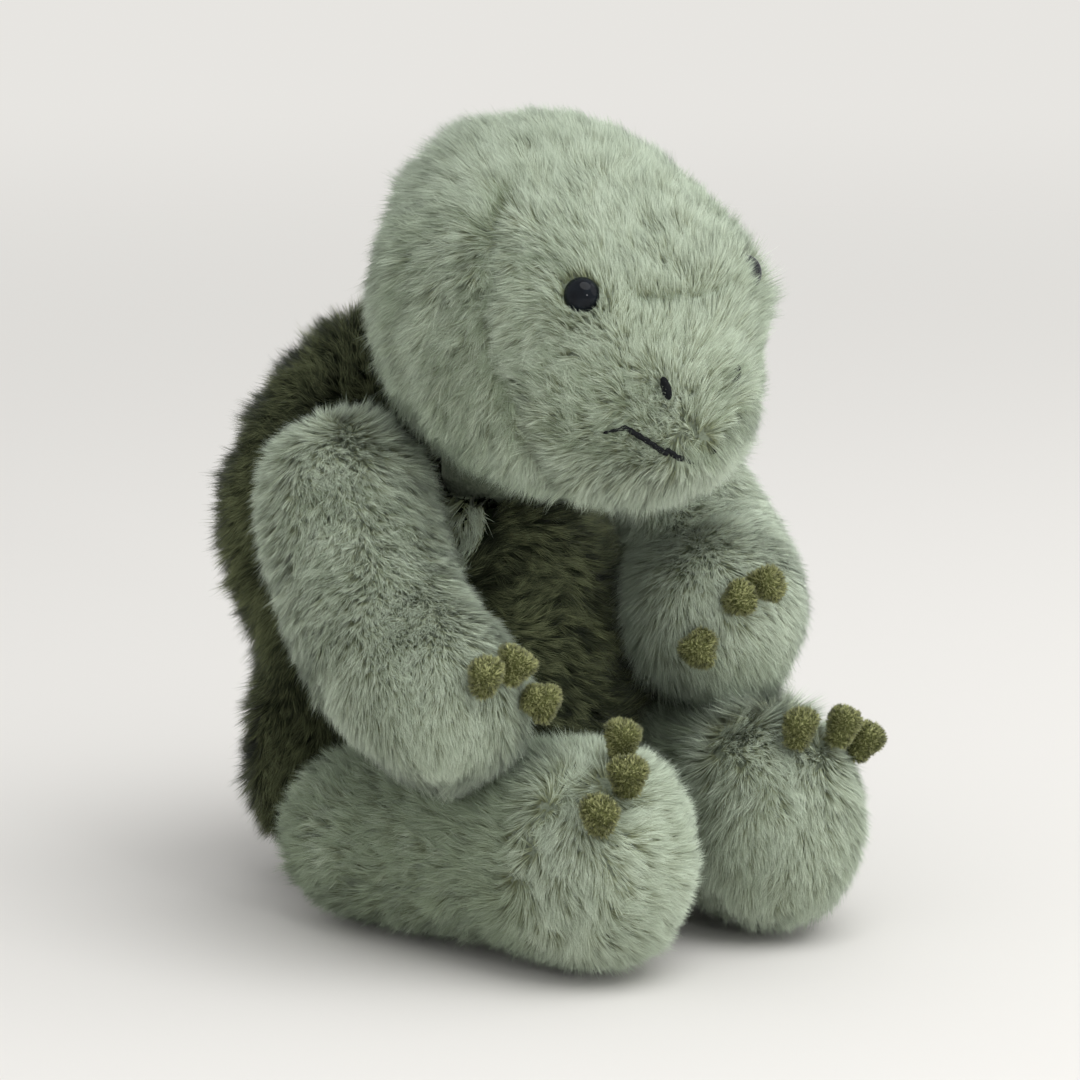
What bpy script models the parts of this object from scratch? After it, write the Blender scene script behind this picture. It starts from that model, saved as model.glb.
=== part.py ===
"""A seated plush turtle: stuffed fur covers, a padded shell, sewn claws, button eyes and stitched features.

The frame: metres, +Z up, the turtle faces -Y, its right side is -X, and the floor it sits on is z = 0.
"""

from math import cos, pi, radians, sin

import bmesh
import bpy
from mathutils import Matrix, Vector
from mathutils.bvhtree import BVHTree

# The clearance between neighbouring pieces, and the depth of a fur cover with its backing.
GAP = 0.0003
COVER_DEPTH = 0.007
# How far what rests on the floor is pressed flat, and how far a cutter runs past what it cuts.
FLOOR_FLAT_DEPTH = 0.0005
CUT_OVERRUN = 0.02
# Longer than the whole turtle, for the floor's block and for lines that look for a surface.
WHOLE_REACH = 0.5

# The smoothing draws a cage in, so its points stand further out by this share.
SMOOTHING_SHARE = 0.95
SHARP_ANGLE = radians(50)
BALL_SIDES = 18
ROD_SIDES = 12

# Trunk: widest at the seat, narrowing to the neck.
TRUNK_CENTRE_DEPTH = -0.010
TRUNK_HEIGHT = 0.180
TRUNK_HALF_WIDTH = 0.066
TRUNK_FRONT = 0.056
TRUNK_BACK = 0.048
TRUNK_SEAT_SHARE = -0.004
# Height, half width, reach forward and reach back of each level, each a share of the size above.
TRUNK_LEVEL_SHARES = (
    (TRUNK_SEAT_SHARE, 0.42, 0.44, 0.52),
    (0.03, 0.78, 0.80, 0.86),
    (0.14, 0.96, 0.98, 0.97),
    (0.32, 1.00, 1.06, 1.00),
    (0.52, 0.92, 1.00, 0.98),
    (0.70, 0.74, 0.86, 0.90),
    (0.86, 0.60, 0.66, 0.76),
    (0.96, 0.34, 0.36, 0.48),
)
TRUNK_SIDES = 10

# Neck: a stuffed ball sunk into the trunk's top. Its centre is where the head turns and nods.
NECK_SINK = 0.014
NECK_CENTRE = Vector((0.0, -0.014, TRUNK_HEIGHT - NECK_SINK))
NECK_RADIUS = 0.024
HEAD_TURN_LIMIT = radians(12)
HEAD_NOD_LIMIT = radians(12)

# Head: a ball that droops forward, with its muzzle over the chest.
HEAD_CENTRE = NECK_CENTRE + Vector((0.0, -0.0345, 0.0643))
HEAD_HALF_HEIGHT = 0.0715
HEAD_HALF_WIDTH = 0.0730
HEAD_FRONT = 0.0760
HEAD_BACK = 0.0735
HEAD_LEVEL_SHARES = (
    (-0.95, 0.36, 0.72, -0.05),
    (-0.80, 0.66, 0.96, 0.42),
    (-0.58, 0.85, 1.01, 0.74),
    (-0.30, 0.97, 1.00, 0.99),
    (-0.02, 1.00, 0.97, 1.00),
    (0.28, 0.97, 0.95, 0.97),
    (0.58, 0.78, 0.68, 0.86),
    (0.83, 0.50, 0.34, 0.68),
    (0.96, 0.22, 0.02, 0.44),
)
HEAD_LOW_POLE_SHARE = -0.40
HEAD_HIGH_POLE_SHARE = 0.22
HEAD_SIDES = 14

# Eyes: a domed button on a shank, locked behind the cover by a washer.
EYE_RADIUS = 0.0064
EYE_DOME_HEIGHT = 0.0052
EYE_RIM_THICKNESS = 0.0012
EYE_SHANK_RADIUS = 0.0019
EYE_SHANK_LENGTH = 0.0150
EYE_WASHER_RADIUS = 0.0072
EYE_WASHER_THICKNESS = 0.0016
EYE_SOCKET_DEPTH = 0.0030
EYE_AZIMUTH = radians(36)
EYE_ELEVATION = radians(12)
EYE_SIDES = 16
EYE_DOME_STEPS = 5

# Nostrils and mouth: satin stitches that lie half in the pile.
NOSTRIL_LENGTH = 0.0090
NOSTRIL_WIDTH = 0.0030
NOSTRIL_LEAN = radians(18)
NOSTRIL_AZIMUTH = radians(13.5)
NOSTRIL_ELEVATION = radians(-14)
NOSTRIL_SIDES = 8
MOUTH_THREAD_RADIUS = 0.0011
MOUTH_CORNER_AZIMUTH = radians(30.5)
MOUTH_PEAK_AZIMUTH = radians(25)
MOUTH_PEAK_ELEVATION = radians(-23)
MOUTH_LIP_ELEVATION = radians(-34.5)
MOUTH_CORNER_DROP = radians(1.8)
MOUTH_RISE_POWER = 1.15
MOUTH_STEPS = 10

# Belly panel: the part of the trunk's cover inside this upright oval.
BELLY_HALF_WIDTH = 0.047
BELLY_HALF_HEIGHT = 0.074
BELLY_CENTRE_HEIGHT = 0.094
BELLY_SIDES = 14

# Shell: a tall padded oval on the back, drawn in at its waist.
SHELL_BASE_HEIGHT = 0.0015
SHELL_HEIGHT = 0.2265
SHELL_RIM_DEPTH = 0.048
SHELL_HALF_WIDTH = 0.0810
SHELL_BACK = 0.0390
SHELL_FRONT = 0.014
SHELL_LEVEL_SHARES = (
    (0.02, 0.66, 0.66, 0.70),
    (0.09, 0.86, 0.88, 0.90),
    (0.21, 0.88, 0.97, 1.00),
    (0.31, 0.84, 1.00, 1.00),
    (0.375, 0.75, 0.96, 0.95),
    (0.44, 0.86, 1.03, 1.00),
    (0.58, 1.02, 1.08, 1.00),
    (0.73, 0.97, 1.01, 0.97),
    (0.87, 0.69, 0.80, 0.80),
    (0.96, 0.38, 0.52, 0.52),
)
SHELL_SIDES = 12

# Arms: both hang from round shoulders, bend at the elbow and rest over the legs.
SHOULDER_SPREAD = 0.0720
SHOULDER_DEPTH = -0.008
SHOULDER_DROP = 0.020
SHOULDER_HEIGHT = TRUNK_HEIGHT - SHOULDER_DROP
SHOULDER_RADIUS = 0.0365
ELBOW_RADIUS = 0.0375
HAND_RADIUS = 0.0380
HAND_TIP_REACH = 0.034
RIGHT_ELBOW = Vector((-0.085, -0.036, 0.110))
RIGHT_HAND = Vector((-0.084, -0.078, 0.101))
LEFT_ELBOW = Vector((0.090, -0.036, 0.108))
LEFT_HAND = Vector((0.051, -0.078, 0.113))
SHOULDER_OPENING_RADIUS = 0.012
ARM_STEP_SHARES = (0.0, 0.32, 0.66, 1.0)
ARM_SIDES = 9
# The rounding of a limb's ends: how far each ring of a cap lies from the limb's own line.
CAP_ANGLES = (radians(30), radians(60))

# Legs: straight, lying on the floor, thicker at the foot. Each turns on the line from hip to foot.
HIP_SPREAD = 0.062
HIP_DEPTH = -0.012
HIP_RADIUS = 0.037
HIP_HEIGHT = 0.0335
FOOT_SPREAD = 0.0425
FOOT_DEPTH = -0.116
FOOT_HALF_WIDTH = 0.0400
FOOT_HALF_HEIGHT = 0.0485
FOOT_HEIGHT = 0.0439
FOOT_TIP_REACH = 0.0380
# Where the leg's rings lie between hip and foot, and each one's girth as a share of the hip's.
LEG_STEP_SHARES = (0.0, 0.42, 0.78)
LEG_GIRTH_SHARES = (1.0, 0.98, 1.10)
HIP_OPENING_RADIUS = 0.012
LEG_SIDES = 9
# The leg's facets turn past those of what it touches, so it keeps this much further off.
LEG_ROLL_CLEARANCE = 0.0008

# Claws: short blunt fingers of plush, three to a hand and three to a foot.
HAND_CLAW_LENGTH = 0.015
HAND_CLAW_RADIUS = 0.0054
FOOT_CLAW_LENGTH = 0.018
FOOT_CLAW_RADIUS = 0.0057
CLAW_BURIED_SHARE = 0.35
CLAW_SIDES = 8
# A claw's outline from its root: radius and length, each a share of the whole.
CLAW_OUTLINE_SHARES = ((0.80, 0.04), (0.88, 0.35), (1.0, 0.66), (0.74, 0.90))
# The way each claw stands from the middle of its hand or foot: outward from the body, forward, up.
RIGHT_HAND_CLAW_SHARES = ((0.20, 0.84, 0.36), (-0.16, 0.88, 0.42), (-0.46, 0.86, 0.06))
LEFT_HAND_CLAW_SHARES = ((-0.22, 0.84, 0.44), (-0.50, 0.80, 0.32), (-0.80, 0.58, -0.14))
RIGHT_FOOT_CLAW_SHARES = ((0.06, 0.34, 0.94), (0.22, 0.60, 0.78), (0.57, 0.68, 0.58))
LEFT_FOOT_CLAW_SHARES = ((-0.20, 0.52, 0.83), (0.24, 0.54, 0.78), (0.58, 0.50, 0.62))

SAGE = (0.43, 0.52, 0.40, 1.0)
DARK_GREEN = (0.045, 0.075, 0.025, 1.0)
OLIVE = (0.20, 0.22, 0.07, 1.0)
BLACK = (0.006, 0.008, 0.012, 1.0)
WHITE_FIBRE = (0.80, 0.80, 0.78, 1.0)
CLEAR_GREY = (0.55, 0.56, 0.56, 1.0)
FUR_ROUGHNESS = 0.95
THREAD_ROUGHNESS = 0.6
BUTTON_ROUGHNESS = 0.08
WASHER_ROUGHNESS = 0.45


def clear_scene():
    for old in list(bpy.data.objects):
        bpy.data.objects.remove(old, do_unlink=True)


def make_material(name, colour, roughness):
    material = bpy.data.materials.new(name)
    material.use_nodes = True
    shader = material.node_tree.nodes["Principled BSDF"]
    shader.inputs["Base Color"].default_value = colour
    shader.inputs["Roughness"].default_value = roughness
    shader.inputs["Metallic"].default_value = 0.0
    return material


def add_object(name, mesh, parent=None, place=None):
    """Links a mesh given in world coordinates as an object whose origin stands at place."""
    piece = bpy.data.objects.new(name, mesh)
    bpy.context.scene.collection.objects.link(piece)
    if place is not None:
        mesh.transform(Matrix.Translation(-place))
        piece.location = place
    if parent is not None:
        piece.parent = parent
        piece.location = Vector((0.0, 0.0, 0.0)) if place is None else place - parent.location
    return piece


def add_joint_empty(name, place):
    empty = bpy.data.objects.new(name, None)
    bpy.context.scene.collection.objects.link(empty)
    empty.location = place
    return empty


def mesh_from(shape, name):
    """Turns a bmesh into a mesh with its faces pointing out."""
    bmesh.ops.recalc_face_normals(shape, faces=shape.faces[:])
    mesh = bpy.data.meshes.new(name)
    shape.to_mesh(mesh)
    shape.free()
    return mesh


def loft_mesh(name, rings, first_pole, last_pole, levels):
    """Skins a stack of rings with quads, closes each end on its pole, and smooths the whole."""
    shape = bmesh.new()
    loops = [[shape.verts.new(point) for point in ring] for ring in rings]
    low, high = shape.verts.new(first_pole), shape.verts.new(last_pole)
    sides = len(rings[0])
    for i in range(sides):
        j = (i + 1) % sides
        shape.faces.new((low, loops[0][j], loops[0][i]))
        shape.faces.new((high, loops[-1][i], loops[-1][j]))
        for below, above in zip(loops, loops[1:]):
            shape.faces.new((below[i], below[j], above[j], above[i]))
    mesh = mesh_from(shape, name)
    return in_triangles(smoothed(mesh, levels) if levels else mesh)


def in_triangles(mesh):
    """Splits each quad along the same diagonal, so that grown copies keep to their original."""
    shape = bmesh.new()
    shape.from_mesh(mesh)
    bmesh.ops.triangulate(shape, faces=shape.faces[:], quad_method="FIXED")
    return mesh_from(shape, mesh.name)


def smoothed(mesh, levels):
    """Applies a Subdivision Surface to a cage."""
    holder = bpy.data.objects.new("cage", mesh)
    bpy.context.scene.collection.objects.link(holder)
    smoothing = holder.modifiers.new("smoothing", "SUBSURF")
    smoothing.levels = smoothing.render_levels = levels
    return take_result(holder)


def take_result(holder):
    """Reads an object's evaluated mesh in world space and removes the object."""
    graph = bpy.context.evaluated_depsgraph_get()
    result = bpy.data.meshes.new_from_object(holder.evaluated_get(graph), depsgraph=graph)
    result.transform(holder.matrix_world)
    bpy.data.objects.remove(holder, do_unlink=True)
    return result


def closed_seams(mesh):
    """Joins the end caps of a tube to its sides."""
    shape = bmesh.new()
    shape.from_mesh(mesh)
    bmesh.ops.remove_doubles(shape, verts=shape.verts[:], dist=MOUTH_THREAD_RADIUS / 100)
    return mesh_from(shape, mesh.name)


def boolean(mesh, other, operation):
    """Cuts, joins or intersects two closed meshes given in world coordinates."""
    holder = bpy.data.objects.new("solid", mesh)
    tool = bpy.data.objects.new("tool", other)
    for item in (holder, tool):
        bpy.context.scene.collection.objects.link(item)
    step = holder.modifiers.new("step", "BOOLEAN")
    step.operation = operation
    step.solver = "EXACT"
    step.object = tool
    result = take_result(holder)
    bpy.data.objects.remove(tool, do_unlink=True)
    return result


def cut(mesh, *others):
    for other in others:
        mesh = boolean(mesh, other, "DIFFERENCE")
    return mesh


def grown(mesh, distance):
    """A copy with each point moved along its normal: outward, or inward where distance is negative."""
    copy = mesh.copy()
    moved = [v.co + v.normal * distance for v in mesh.vertices]
    for vertex, place in zip(copy.vertices, moved):
        vertex.co = place
    return copy


def levels_cage(name, origin, shares, height, half_width, front, back, poles, sides, levels):
    """Stacks oval levels: each has its own height, half width, reach forward (-Y) and reach back."""
    spread = 1 / SMOOTHING_SHARE
    rings = []
    for level, width, forward, rear in shares:
        middle = (back * rear - front * forward) / 2
        depth = (back * rear + front * forward) / 2
        ring = []
        for i in range(sides):
            turn = 2 * pi * i / sides
            x = half_width * width * spread * sin(turn)
            y = middle - depth * spread * cos(turn)
            ring.append(origin + Vector((x, y, height * level)))
        rings.append(ring)
    low, high = poles
    low_pole = origin + Vector((0.0, low[0], low[1]))
    high_pole = origin + Vector((0.0, high[0], high[1]))
    return loft_mesh(name, rings, low_pole, high_pole, levels)


def head_form(levels):
    poles = (
        (HEAD_FRONT * HEAD_LOW_POLE_SHARE, -HEAD_HALF_HEIGHT),
        (HEAD_BACK * HEAD_HIGH_POLE_SHARE, HEAD_HALF_HEIGHT),
    )
    sizes = (HEAD_HALF_HEIGHT, HEAD_HALF_WIDTH, HEAD_FRONT, HEAD_BACK)
    return levels_cage("head", HEAD_CENTRE, HEAD_LEVEL_SHARES, *sizes, poles, HEAD_SIDES, levels)


def trunk_form(levels):
    origin = Vector((0.0, TRUNK_CENTRE_DEPTH, 0.0))
    sizes = (TRUNK_HEIGHT, TRUNK_HALF_WIDTH, TRUNK_FRONT, TRUNK_BACK)
    poles = ((0.0, TRUNK_HEIGHT * TRUNK_SEAT_SHARE), (0.0, TRUNK_HEIGHT))
    return levels_cage("trunk", origin, TRUNK_LEVEL_SHARES, *sizes, poles, TRUNK_SIDES, levels)


def shell_form(levels):
    origin = Vector((0.0, SHELL_RIM_DEPTH, SHELL_BASE_HEIGHT))
    sizes = (SHELL_HEIGHT, SHELL_HALF_WIDTH, SHELL_FRONT, SHELL_BACK)
    poles = ((0.0, 0.0), (0.0, SHELL_HEIGHT))
    shares = tuple((level, width, front, back) for level, width, back, front in SHELL_LEVEL_SHARES)
    return levels_cage("shell", origin, shares, *sizes, poles, SHELL_SIDES, levels)


def ring_round(centre, direction, across, up, half_width, half_height, sides):
    """An oval ring square to a direction, given its two half sizes."""
    side = (across - direction * across.dot(direction)).normalized()
    top = direction.cross(side).normalized()
    if top.dot(up) < 0:
        top.negate()
    turns = [2 * pi * i / sides for i in range(sides)]
    return [centre + side * half_width * cos(t) + top * half_height * sin(t) for t in turns]


def limb_form(name, spine, tangents, radii, tip_reach, sides, levels):
    """A limb along a spine: a round cap at its root, ovals along it, and a blunt cap at its tip.

    radii gives each spine point its half width and half height.
    """
    spread = 1 / SMOOTHING_SHARE
    across, up = Vector((1.0, 0.0, 0.0)), Vector((0.0, 0.0, 1.0))
    root_reach = radii[0][0]
    stations = []
    for angle in CAP_ANGLES:
        place = spine[0] - tangents[0] * root_reach * cos(angle) * spread
        stations.append((place, tangents[0], radii[0], sin(angle)))
    for place, way, sizes in zip(spine, tangents, radii):
        stations.append((place, way, sizes, 1.0))
    for angle in reversed(CAP_ANGLES):
        place = spine[-1] + tangents[-1] * tip_reach * cos(angle) * spread
        stations.append((place, tangents[-1], radii[-1], sin(angle)))
    rings = []
    for place, way, (wide, high), share in stations:
        scale = share * spread
        rings.append(ring_round(place, way, across, up, wide * scale, high * scale, sides))
    poles = (spine[0] - tangents[0] * root_reach, spine[-1] + tangents[-1] * tip_reach)
    return loft_mesh(name, rings, *poles, levels)


def shoulder_place(side):
    return Vector((side * SHOULDER_SPREAD, SHOULDER_DEPTH, SHOULDER_HEIGHT))


def arm_form(side, elbow, hand, levels, inset=0.0):
    """An arm on a curve from shoulder to hand, drawn toward its elbow. An inset gives its inside."""
    shoulder = shoulder_place(side)
    spine = []
    tangents = []
    radii = []
    for t in ARM_STEP_SHARES:
        spine.append(shoulder * (1 - t) ** 2 + elbow * 2 * t * (1 - t) + hand * t**2)
        tangents.append(((elbow - shoulder) * (1 - t) + (hand - elbow) * t).normalized())
        girth = SHOULDER_RADIUS * (1 - t) ** 2 + ELBOW_RADIUS * 2 * t * (1 - t) + HAND_RADIUS * t**2
        radii.append((girth - inset, girth - inset))
    return limb_form("arm", spine, tangents, radii, HAND_TIP_REACH - inset, ARM_SIDES, levels)


def hip_place(side):
    return Vector((side * HIP_SPREAD, HIP_DEPTH, HIP_HEIGHT))


def foot_place(side):
    return Vector((side * FOOT_SPREAD, FOOT_DEPTH, FOOT_HEIGHT))


def leg_form(side, levels, inset=0.0):
    """A leg on the straight line from hip to foot. It is round where the trunk and the hand touch it."""
    hip, foot = hip_place(side), foot_place(side)
    way = (foot - hip).normalized()
    radii = [(HIP_RADIUS * share - inset, HIP_RADIUS * share - inset) for share in LEG_GIRTH_SHARES]
    spine = [hip.lerp(foot, share) for share in LEG_STEP_SHARES]
    radii.append((FOOT_HALF_WIDTH - inset, FOOT_HALF_HEIGHT - inset))
    spine.append(foot)
    tangents = [way] * len(spine)
    return limb_form("leg", spine, tangents, radii, FOOT_TIP_REACH - inset, LEG_SIDES, levels)


def ball(centre, radius):
    shape = bmesh.new()
    bmesh.ops.create_uvsphere(shape, u_segments=BALL_SIDES, v_segments=BALL_SIDES // 2, radius=radius)
    mesh = mesh_from(shape, "ball")
    mesh.transform(Matrix.Translation(centre))
    return mesh


def neck_room():
    """The hollow that the neck turns in: larger than the faceted ball by the depth of its facets."""
    return ball(NECK_CENTRE, NECK_RADIUS / cos(pi / BALL_SIDES) ** 2 + GAP / 2)


def rod(start, end, radius):
    """A closed cylinder between two points."""
    shape = bmesh.new()
    way = end - start
    sizes = {"radius1": radius, "radius2": radius, "depth": way.length}
    bmesh.ops.create_cone(shape, cap_ends=True, segments=ROD_SIDES, **sizes)
    mesh = mesh_from(shape, "rod")
    turn = way.to_track_quat("Z", "Y").to_matrix().to_4x4()
    mesh.transform(Matrix.Translation((start + end) / 2) @ turn)
    return mesh


def floor_block():
    """Everything below the floor, for cutting a flat under what stands on it."""
    shape = bmesh.new()
    bmesh.ops.create_cube(shape, size=1.0)
    mesh = mesh_from(shape, "floor")
    size = Matrix.Diagonal((WHOLE_REACH, WHOLE_REACH, WHOLE_REACH, 1.0))
    mesh.transform(Matrix.Translation((0.0, 0.0, -WHOLE_REACH / 2)) @ size)
    return mesh


def belly_column(distance):
    """An upright oval run through the front half of the trunk, grown by a distance."""
    shape = bmesh.new()
    bmesh.ops.create_circle(shape, cap_ends=True, segments=BELLY_SIDES, radius=1.0)
    front = bmesh.ops.extrude_face_region(shape, geom=shape.faces[:])
    moved = [v for v in front["geom"] if isinstance(v, bmesh.types.BMVert)]
    bmesh.ops.translate(shape, vec=(0.0, 0.0, 1.0), verts=moved)
    mesh = mesh_from(shape, "belly")
    wide, high = BELLY_HALF_WIDTH + distance, BELLY_HALF_HEIGHT + distance
    reach = TRUNK_FRONT + CUT_OVERRUN
    stand = Matrix.Rotation(pi / 2, 4, "X")
    place = Matrix.Translation((0.0, TRUNK_CENTRE_DEPTH, BELLY_CENTRE_HEIGHT))
    mesh.transform(place @ stand @ Matrix.Diagonal((wide, high, reach, 1.0)))
    return mesh


def hull_of(meshes):
    """The closed convex skin round all the points of some meshes."""
    shape = bmesh.new()
    for mesh in meshes:
        for vertex in mesh.vertices:
            shape.verts.new(vertex.co)
    done = bmesh.ops.convex_hull(shape, input=shape.verts[:])
    unused = done["geom_interior"] + done["geom_unused"]
    spare = {part for part in unused if isinstance(part, bmesh.types.BMVert)}
    bmesh.ops.delete(shape, geom=list(spare), context="VERTS")
    return mesh_from(shape, "hull")


def head_at(form, turn, nod):
    """The head with its turn about the upright and its nod about the crosswise axis through the neck."""
    copy = form.copy()
    move = Matrix.Rotation(turn, 4, "Z") @ Matrix.Rotation(-nod, 4, "X")
    copy.transform(Matrix.Translation(NECK_CENTRE) @ move @ Matrix.Translation(-NECK_CENTRE))
    return copy


def head_room(form):
    """The space that the head passes through between the limits of its turn and nod."""
    turns = (-HEAD_TURN_LIMIT, 0.0, HEAD_TURN_LIMIT)
    nods = (0.0, HEAD_NOD_LIMIT)
    wide = grown(form, GAP)
    return hull_of([head_at(wide, turn, nod) for turn in turns for nod in nods])


def surface_point(mesh, centre, azimuth, elevation):
    """Where a line from the centre leaves a form. Azimuth 0 is straight ahead."""
    way = Vector((sin(azimuth) * cos(elevation), -cos(azimuth) * cos(elevation), sin(elevation)))
    shape = bmesh.new()
    shape.from_mesh(mesh)
    tree = BVHTree.FromBMesh(shape)
    place = tree.ray_cast(centre + way * WHOLE_REACH, -way)[0]
    shape.free()
    return place


def turned_mesh(name, profile, sides):
    """Spins a profile of (radius, height) points about Z into a closed solid. The ends lie on the axis."""
    shape = bmesh.new()
    rings = []
    for radius, height in profile[1:-1]:
        turns = [2 * pi * i / sides for i in range(sides)]
        rings.append([shape.verts.new((radius * cos(t), radius * sin(t), height)) for t in turns])
    low = shape.verts.new((0.0, 0.0, profile[0][1]))
    high = shape.verts.new((0.0, 0.0, profile[-1][1]))
    for i in range(sides):
        j = (i + 1) % sides
        shape.faces.new((low, rings[0][j], rings[0][i]))
        shape.faces.new((high, rings[-1][i], rings[-1][j]))
        for below, above in zip(rings, rings[1:]):
            shape.faces.new((below[i], below[j], above[j], above[i]))
    return mesh_from(shape, name)


def facing(mesh, place, way):
    """Stands a mesh that points along +Z at a place, pointing a given way."""
    mesh.transform(Matrix.Translation(place) @ way.to_track_quat("Z", "Y").to_matrix().to_4x4())
    return mesh


def eye_mesh():
    """A low dome on a thin rim, with its shank behind it. The rim's underside is at z = 0."""
    rises = [pi / 2 * i / EYE_DOME_STEPS for i in range(EYE_DOME_STEPS)]
    dome = [(EYE_RADIUS * cos(a), EYE_RIM_THICKNESS + EYE_DOME_HEIGHT * sin(a)) for a in rises]
    profile = [
        (0.0, -EYE_SHANK_LENGTH),
        (EYE_SHANK_RADIUS, -EYE_SHANK_LENGTH),
        (EYE_SHANK_RADIUS, 0.0),
        (EYE_RADIUS, 0.0),
        *dome,
        (0.0, EYE_RIM_THICKNESS + EYE_DOME_HEIGHT),
    ]
    return turned_mesh("eye", profile, EYE_SIDES)


def claw_mesh(length, radius):
    """A blunt finger along +Z, fuller at its tip, with its root at z = 0."""
    outline = [(radius * wide, length * along) for wide, along in CLAW_OUTLINE_SHARES]
    return turned_mesh("claw", [(0.0, 0.0), *outline, (0.0, length)], CLAW_SIDES)


def add_claws(names, form, centre, side, shares, length, radius, parent, origin, material):
    """Stands three claws on a hand or foot. Their roots follow its surface, a gap away."""
    wide = grown(form, GAP)
    for name, (outward, forward, up) in zip(names, shares):
        way = Vector((side * outward, -forward, up)).normalized()
        azimuth = Vector((way.x, way.y)).angle_signed(Vector((0.0, -1.0)))
        elevation = pi / 2 - way.angle(Vector((0.0, 0.0, 1.0)))
        root = surface_point(form, centre, azimuth, elevation) - way * length * CLAW_BURIED_SHARE
        mesh = cut(facing(claw_mesh(length, radius), root, way), wide.copy())
        finish(add_object(name, mesh, parent, origin), material)


def finish(piece, material):
    piece.data.materials.clear()
    piece.data.materials.append(material)
    piece.data.shade_smooth()
    piece.data.set_sharp_from_angle(angle=SHARP_ANGLE)


def hollowed(form, inner_cage):
    """A cover and its filling.

    The cover's inside is the cage moved in, and the filling lies a gap inside that.
    """
    inside = grown(inner_cage, -COVER_DEPTH)
    return cut(form, inside), grown(inner_cage, -COVER_DEPTH - GAP)


def eye_places(form):
    """Each eye's name, the middle of its seat and the way that it faces."""
    for side, name in ((-1, "right"), (1, "left")):
        place = surface_point(form, HEAD_CENTRE, side * EYE_AZIMUTH, EYE_ELEVATION)
        way = (place - HEAD_CENTRE).normalized()
        yield name, place - way * EYE_SOCKET_DEPTH, way


def eye_socket(seat, way):
    """A shallow round dish in the cover, with the shank's hole at its middle."""
    outside = seat + way * CUT_OVERRUN
    dish = rod(seat - way * GAP, outside, EYE_RADIUS + GAP + EYE_SOCKET_DEPTH / 2)
    hole = rod(seat - way * (EYE_SHANK_LENGTH + GAP), outside, EYE_SHANK_RADIUS + GAP)
    return dish, hole


def mouth_elevation(azimuth):
    """Lowest at the lip in the middle, rising to a peak near each corner and dropping again to the corner."""
    reach = abs(azimuth) / MOUTH_PEAK_AZIMUTH
    if reach <= 1:
        return MOUTH_LIP_ELEVATION + (MOUTH_PEAK_ELEVATION - MOUTH_LIP_ELEVATION) * reach**MOUTH_RISE_POWER
    past = (abs(azimuth) - MOUTH_PEAK_AZIMUTH) / (MOUTH_CORNER_AZIMUTH - MOUTH_PEAK_AZIMUTH)
    return MOUTH_PEAK_ELEVATION - MOUTH_CORNER_DROP * past


def mouth_mesh(form, growth=0.0):
    """A thread that follows the head's surface from corner to corner, or the groove that it lies in."""
    points = []
    for i in range(MOUTH_STEPS + 1):
        azimuth = MOUTH_CORNER_AZIMUTH * (2 * i / MOUTH_STEPS - 1)
        points.append(surface_point(form, HEAD_CENTRE, azimuth, mouth_elevation(azimuth)))
    points[0] += (points[0] - points[1]).normalized() * growth
    points[-1] += (points[-1] - points[-2]).normalized() * growth
    line = bpy.data.curves.new("mouth", "CURVE")
    line.dimensions = "3D"
    line.bevel_depth = MOUTH_THREAD_RADIUS + growth
    line.bevel_resolution = 1
    line.use_fill_caps = True
    spline = line.splines.new("POLY")
    spline.points.add(len(points) - 1)
    for point, place in zip(spline.points, points):
        point.co = (*place, 1.0)
    holder = bpy.data.objects.new("mouth", line)
    bpy.context.scene.collection.objects.link(holder)
    return closed_seams(take_result(holder))


def nostril_mesh(form, side, growth=0.0):
    """A leaning lens of satin stitch, half sunk in the pile."""
    place = surface_point(form, HEAD_CENTRE, side * NOSTRIL_AZIMUTH, NOSTRIL_ELEVATION)
    shape = bmesh.new()
    bmesh.ops.create_uvsphere(shape, u_segments=NOSTRIL_SIDES, v_segments=NOSTRIL_SIDES, radius=1.0)
    mesh = mesh_from(shape, "nostril")
    wide, tall = NOSTRIL_WIDTH / 2 + growth, NOSTRIL_LENGTH / 2 + growth
    lean = Matrix.Rotation(side * NOSTRIL_LEAN, 4, "Y")
    turn = Matrix.Rotation(side * NOSTRIL_AZIMUTH, 4, "Z")
    mesh.transform(Matrix.Translation(place) @ turn @ lean @ Matrix.Diagonal((wide, wide, tall, 1.0)))
    return mesh


def build_eye(name, seat, way, parent, materials):
    """A button eye in its seat, and the washer that holds it behind the cover's backing."""
    eye = facing(eye_mesh(), seat + way * GAP, way)
    finish(add_object(name + "_eye", eye, parent, NECK_CENTRE), materials["black"])
    back = washer_front(seat, way)
    disc = rod(back - way * EYE_WASHER_THICKNESS, back, EYE_WASHER_RADIUS)
    bore = rod(back - way * CUT_OVERRUN, back + way * CUT_OVERRUN, EYE_SHANK_RADIUS + GAP)
    washer = add_object(name + "_eye_washer", cut(disc, bore), parent, NECK_CENTRE)
    finish(washer, materials["clear"])


def washer_front(seat, way):
    """The washer's front face lies just behind the cover's backing, on the shank."""
    return seat - way * (COVER_DEPTH + EYE_SOCKET_DEPTH)


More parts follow.
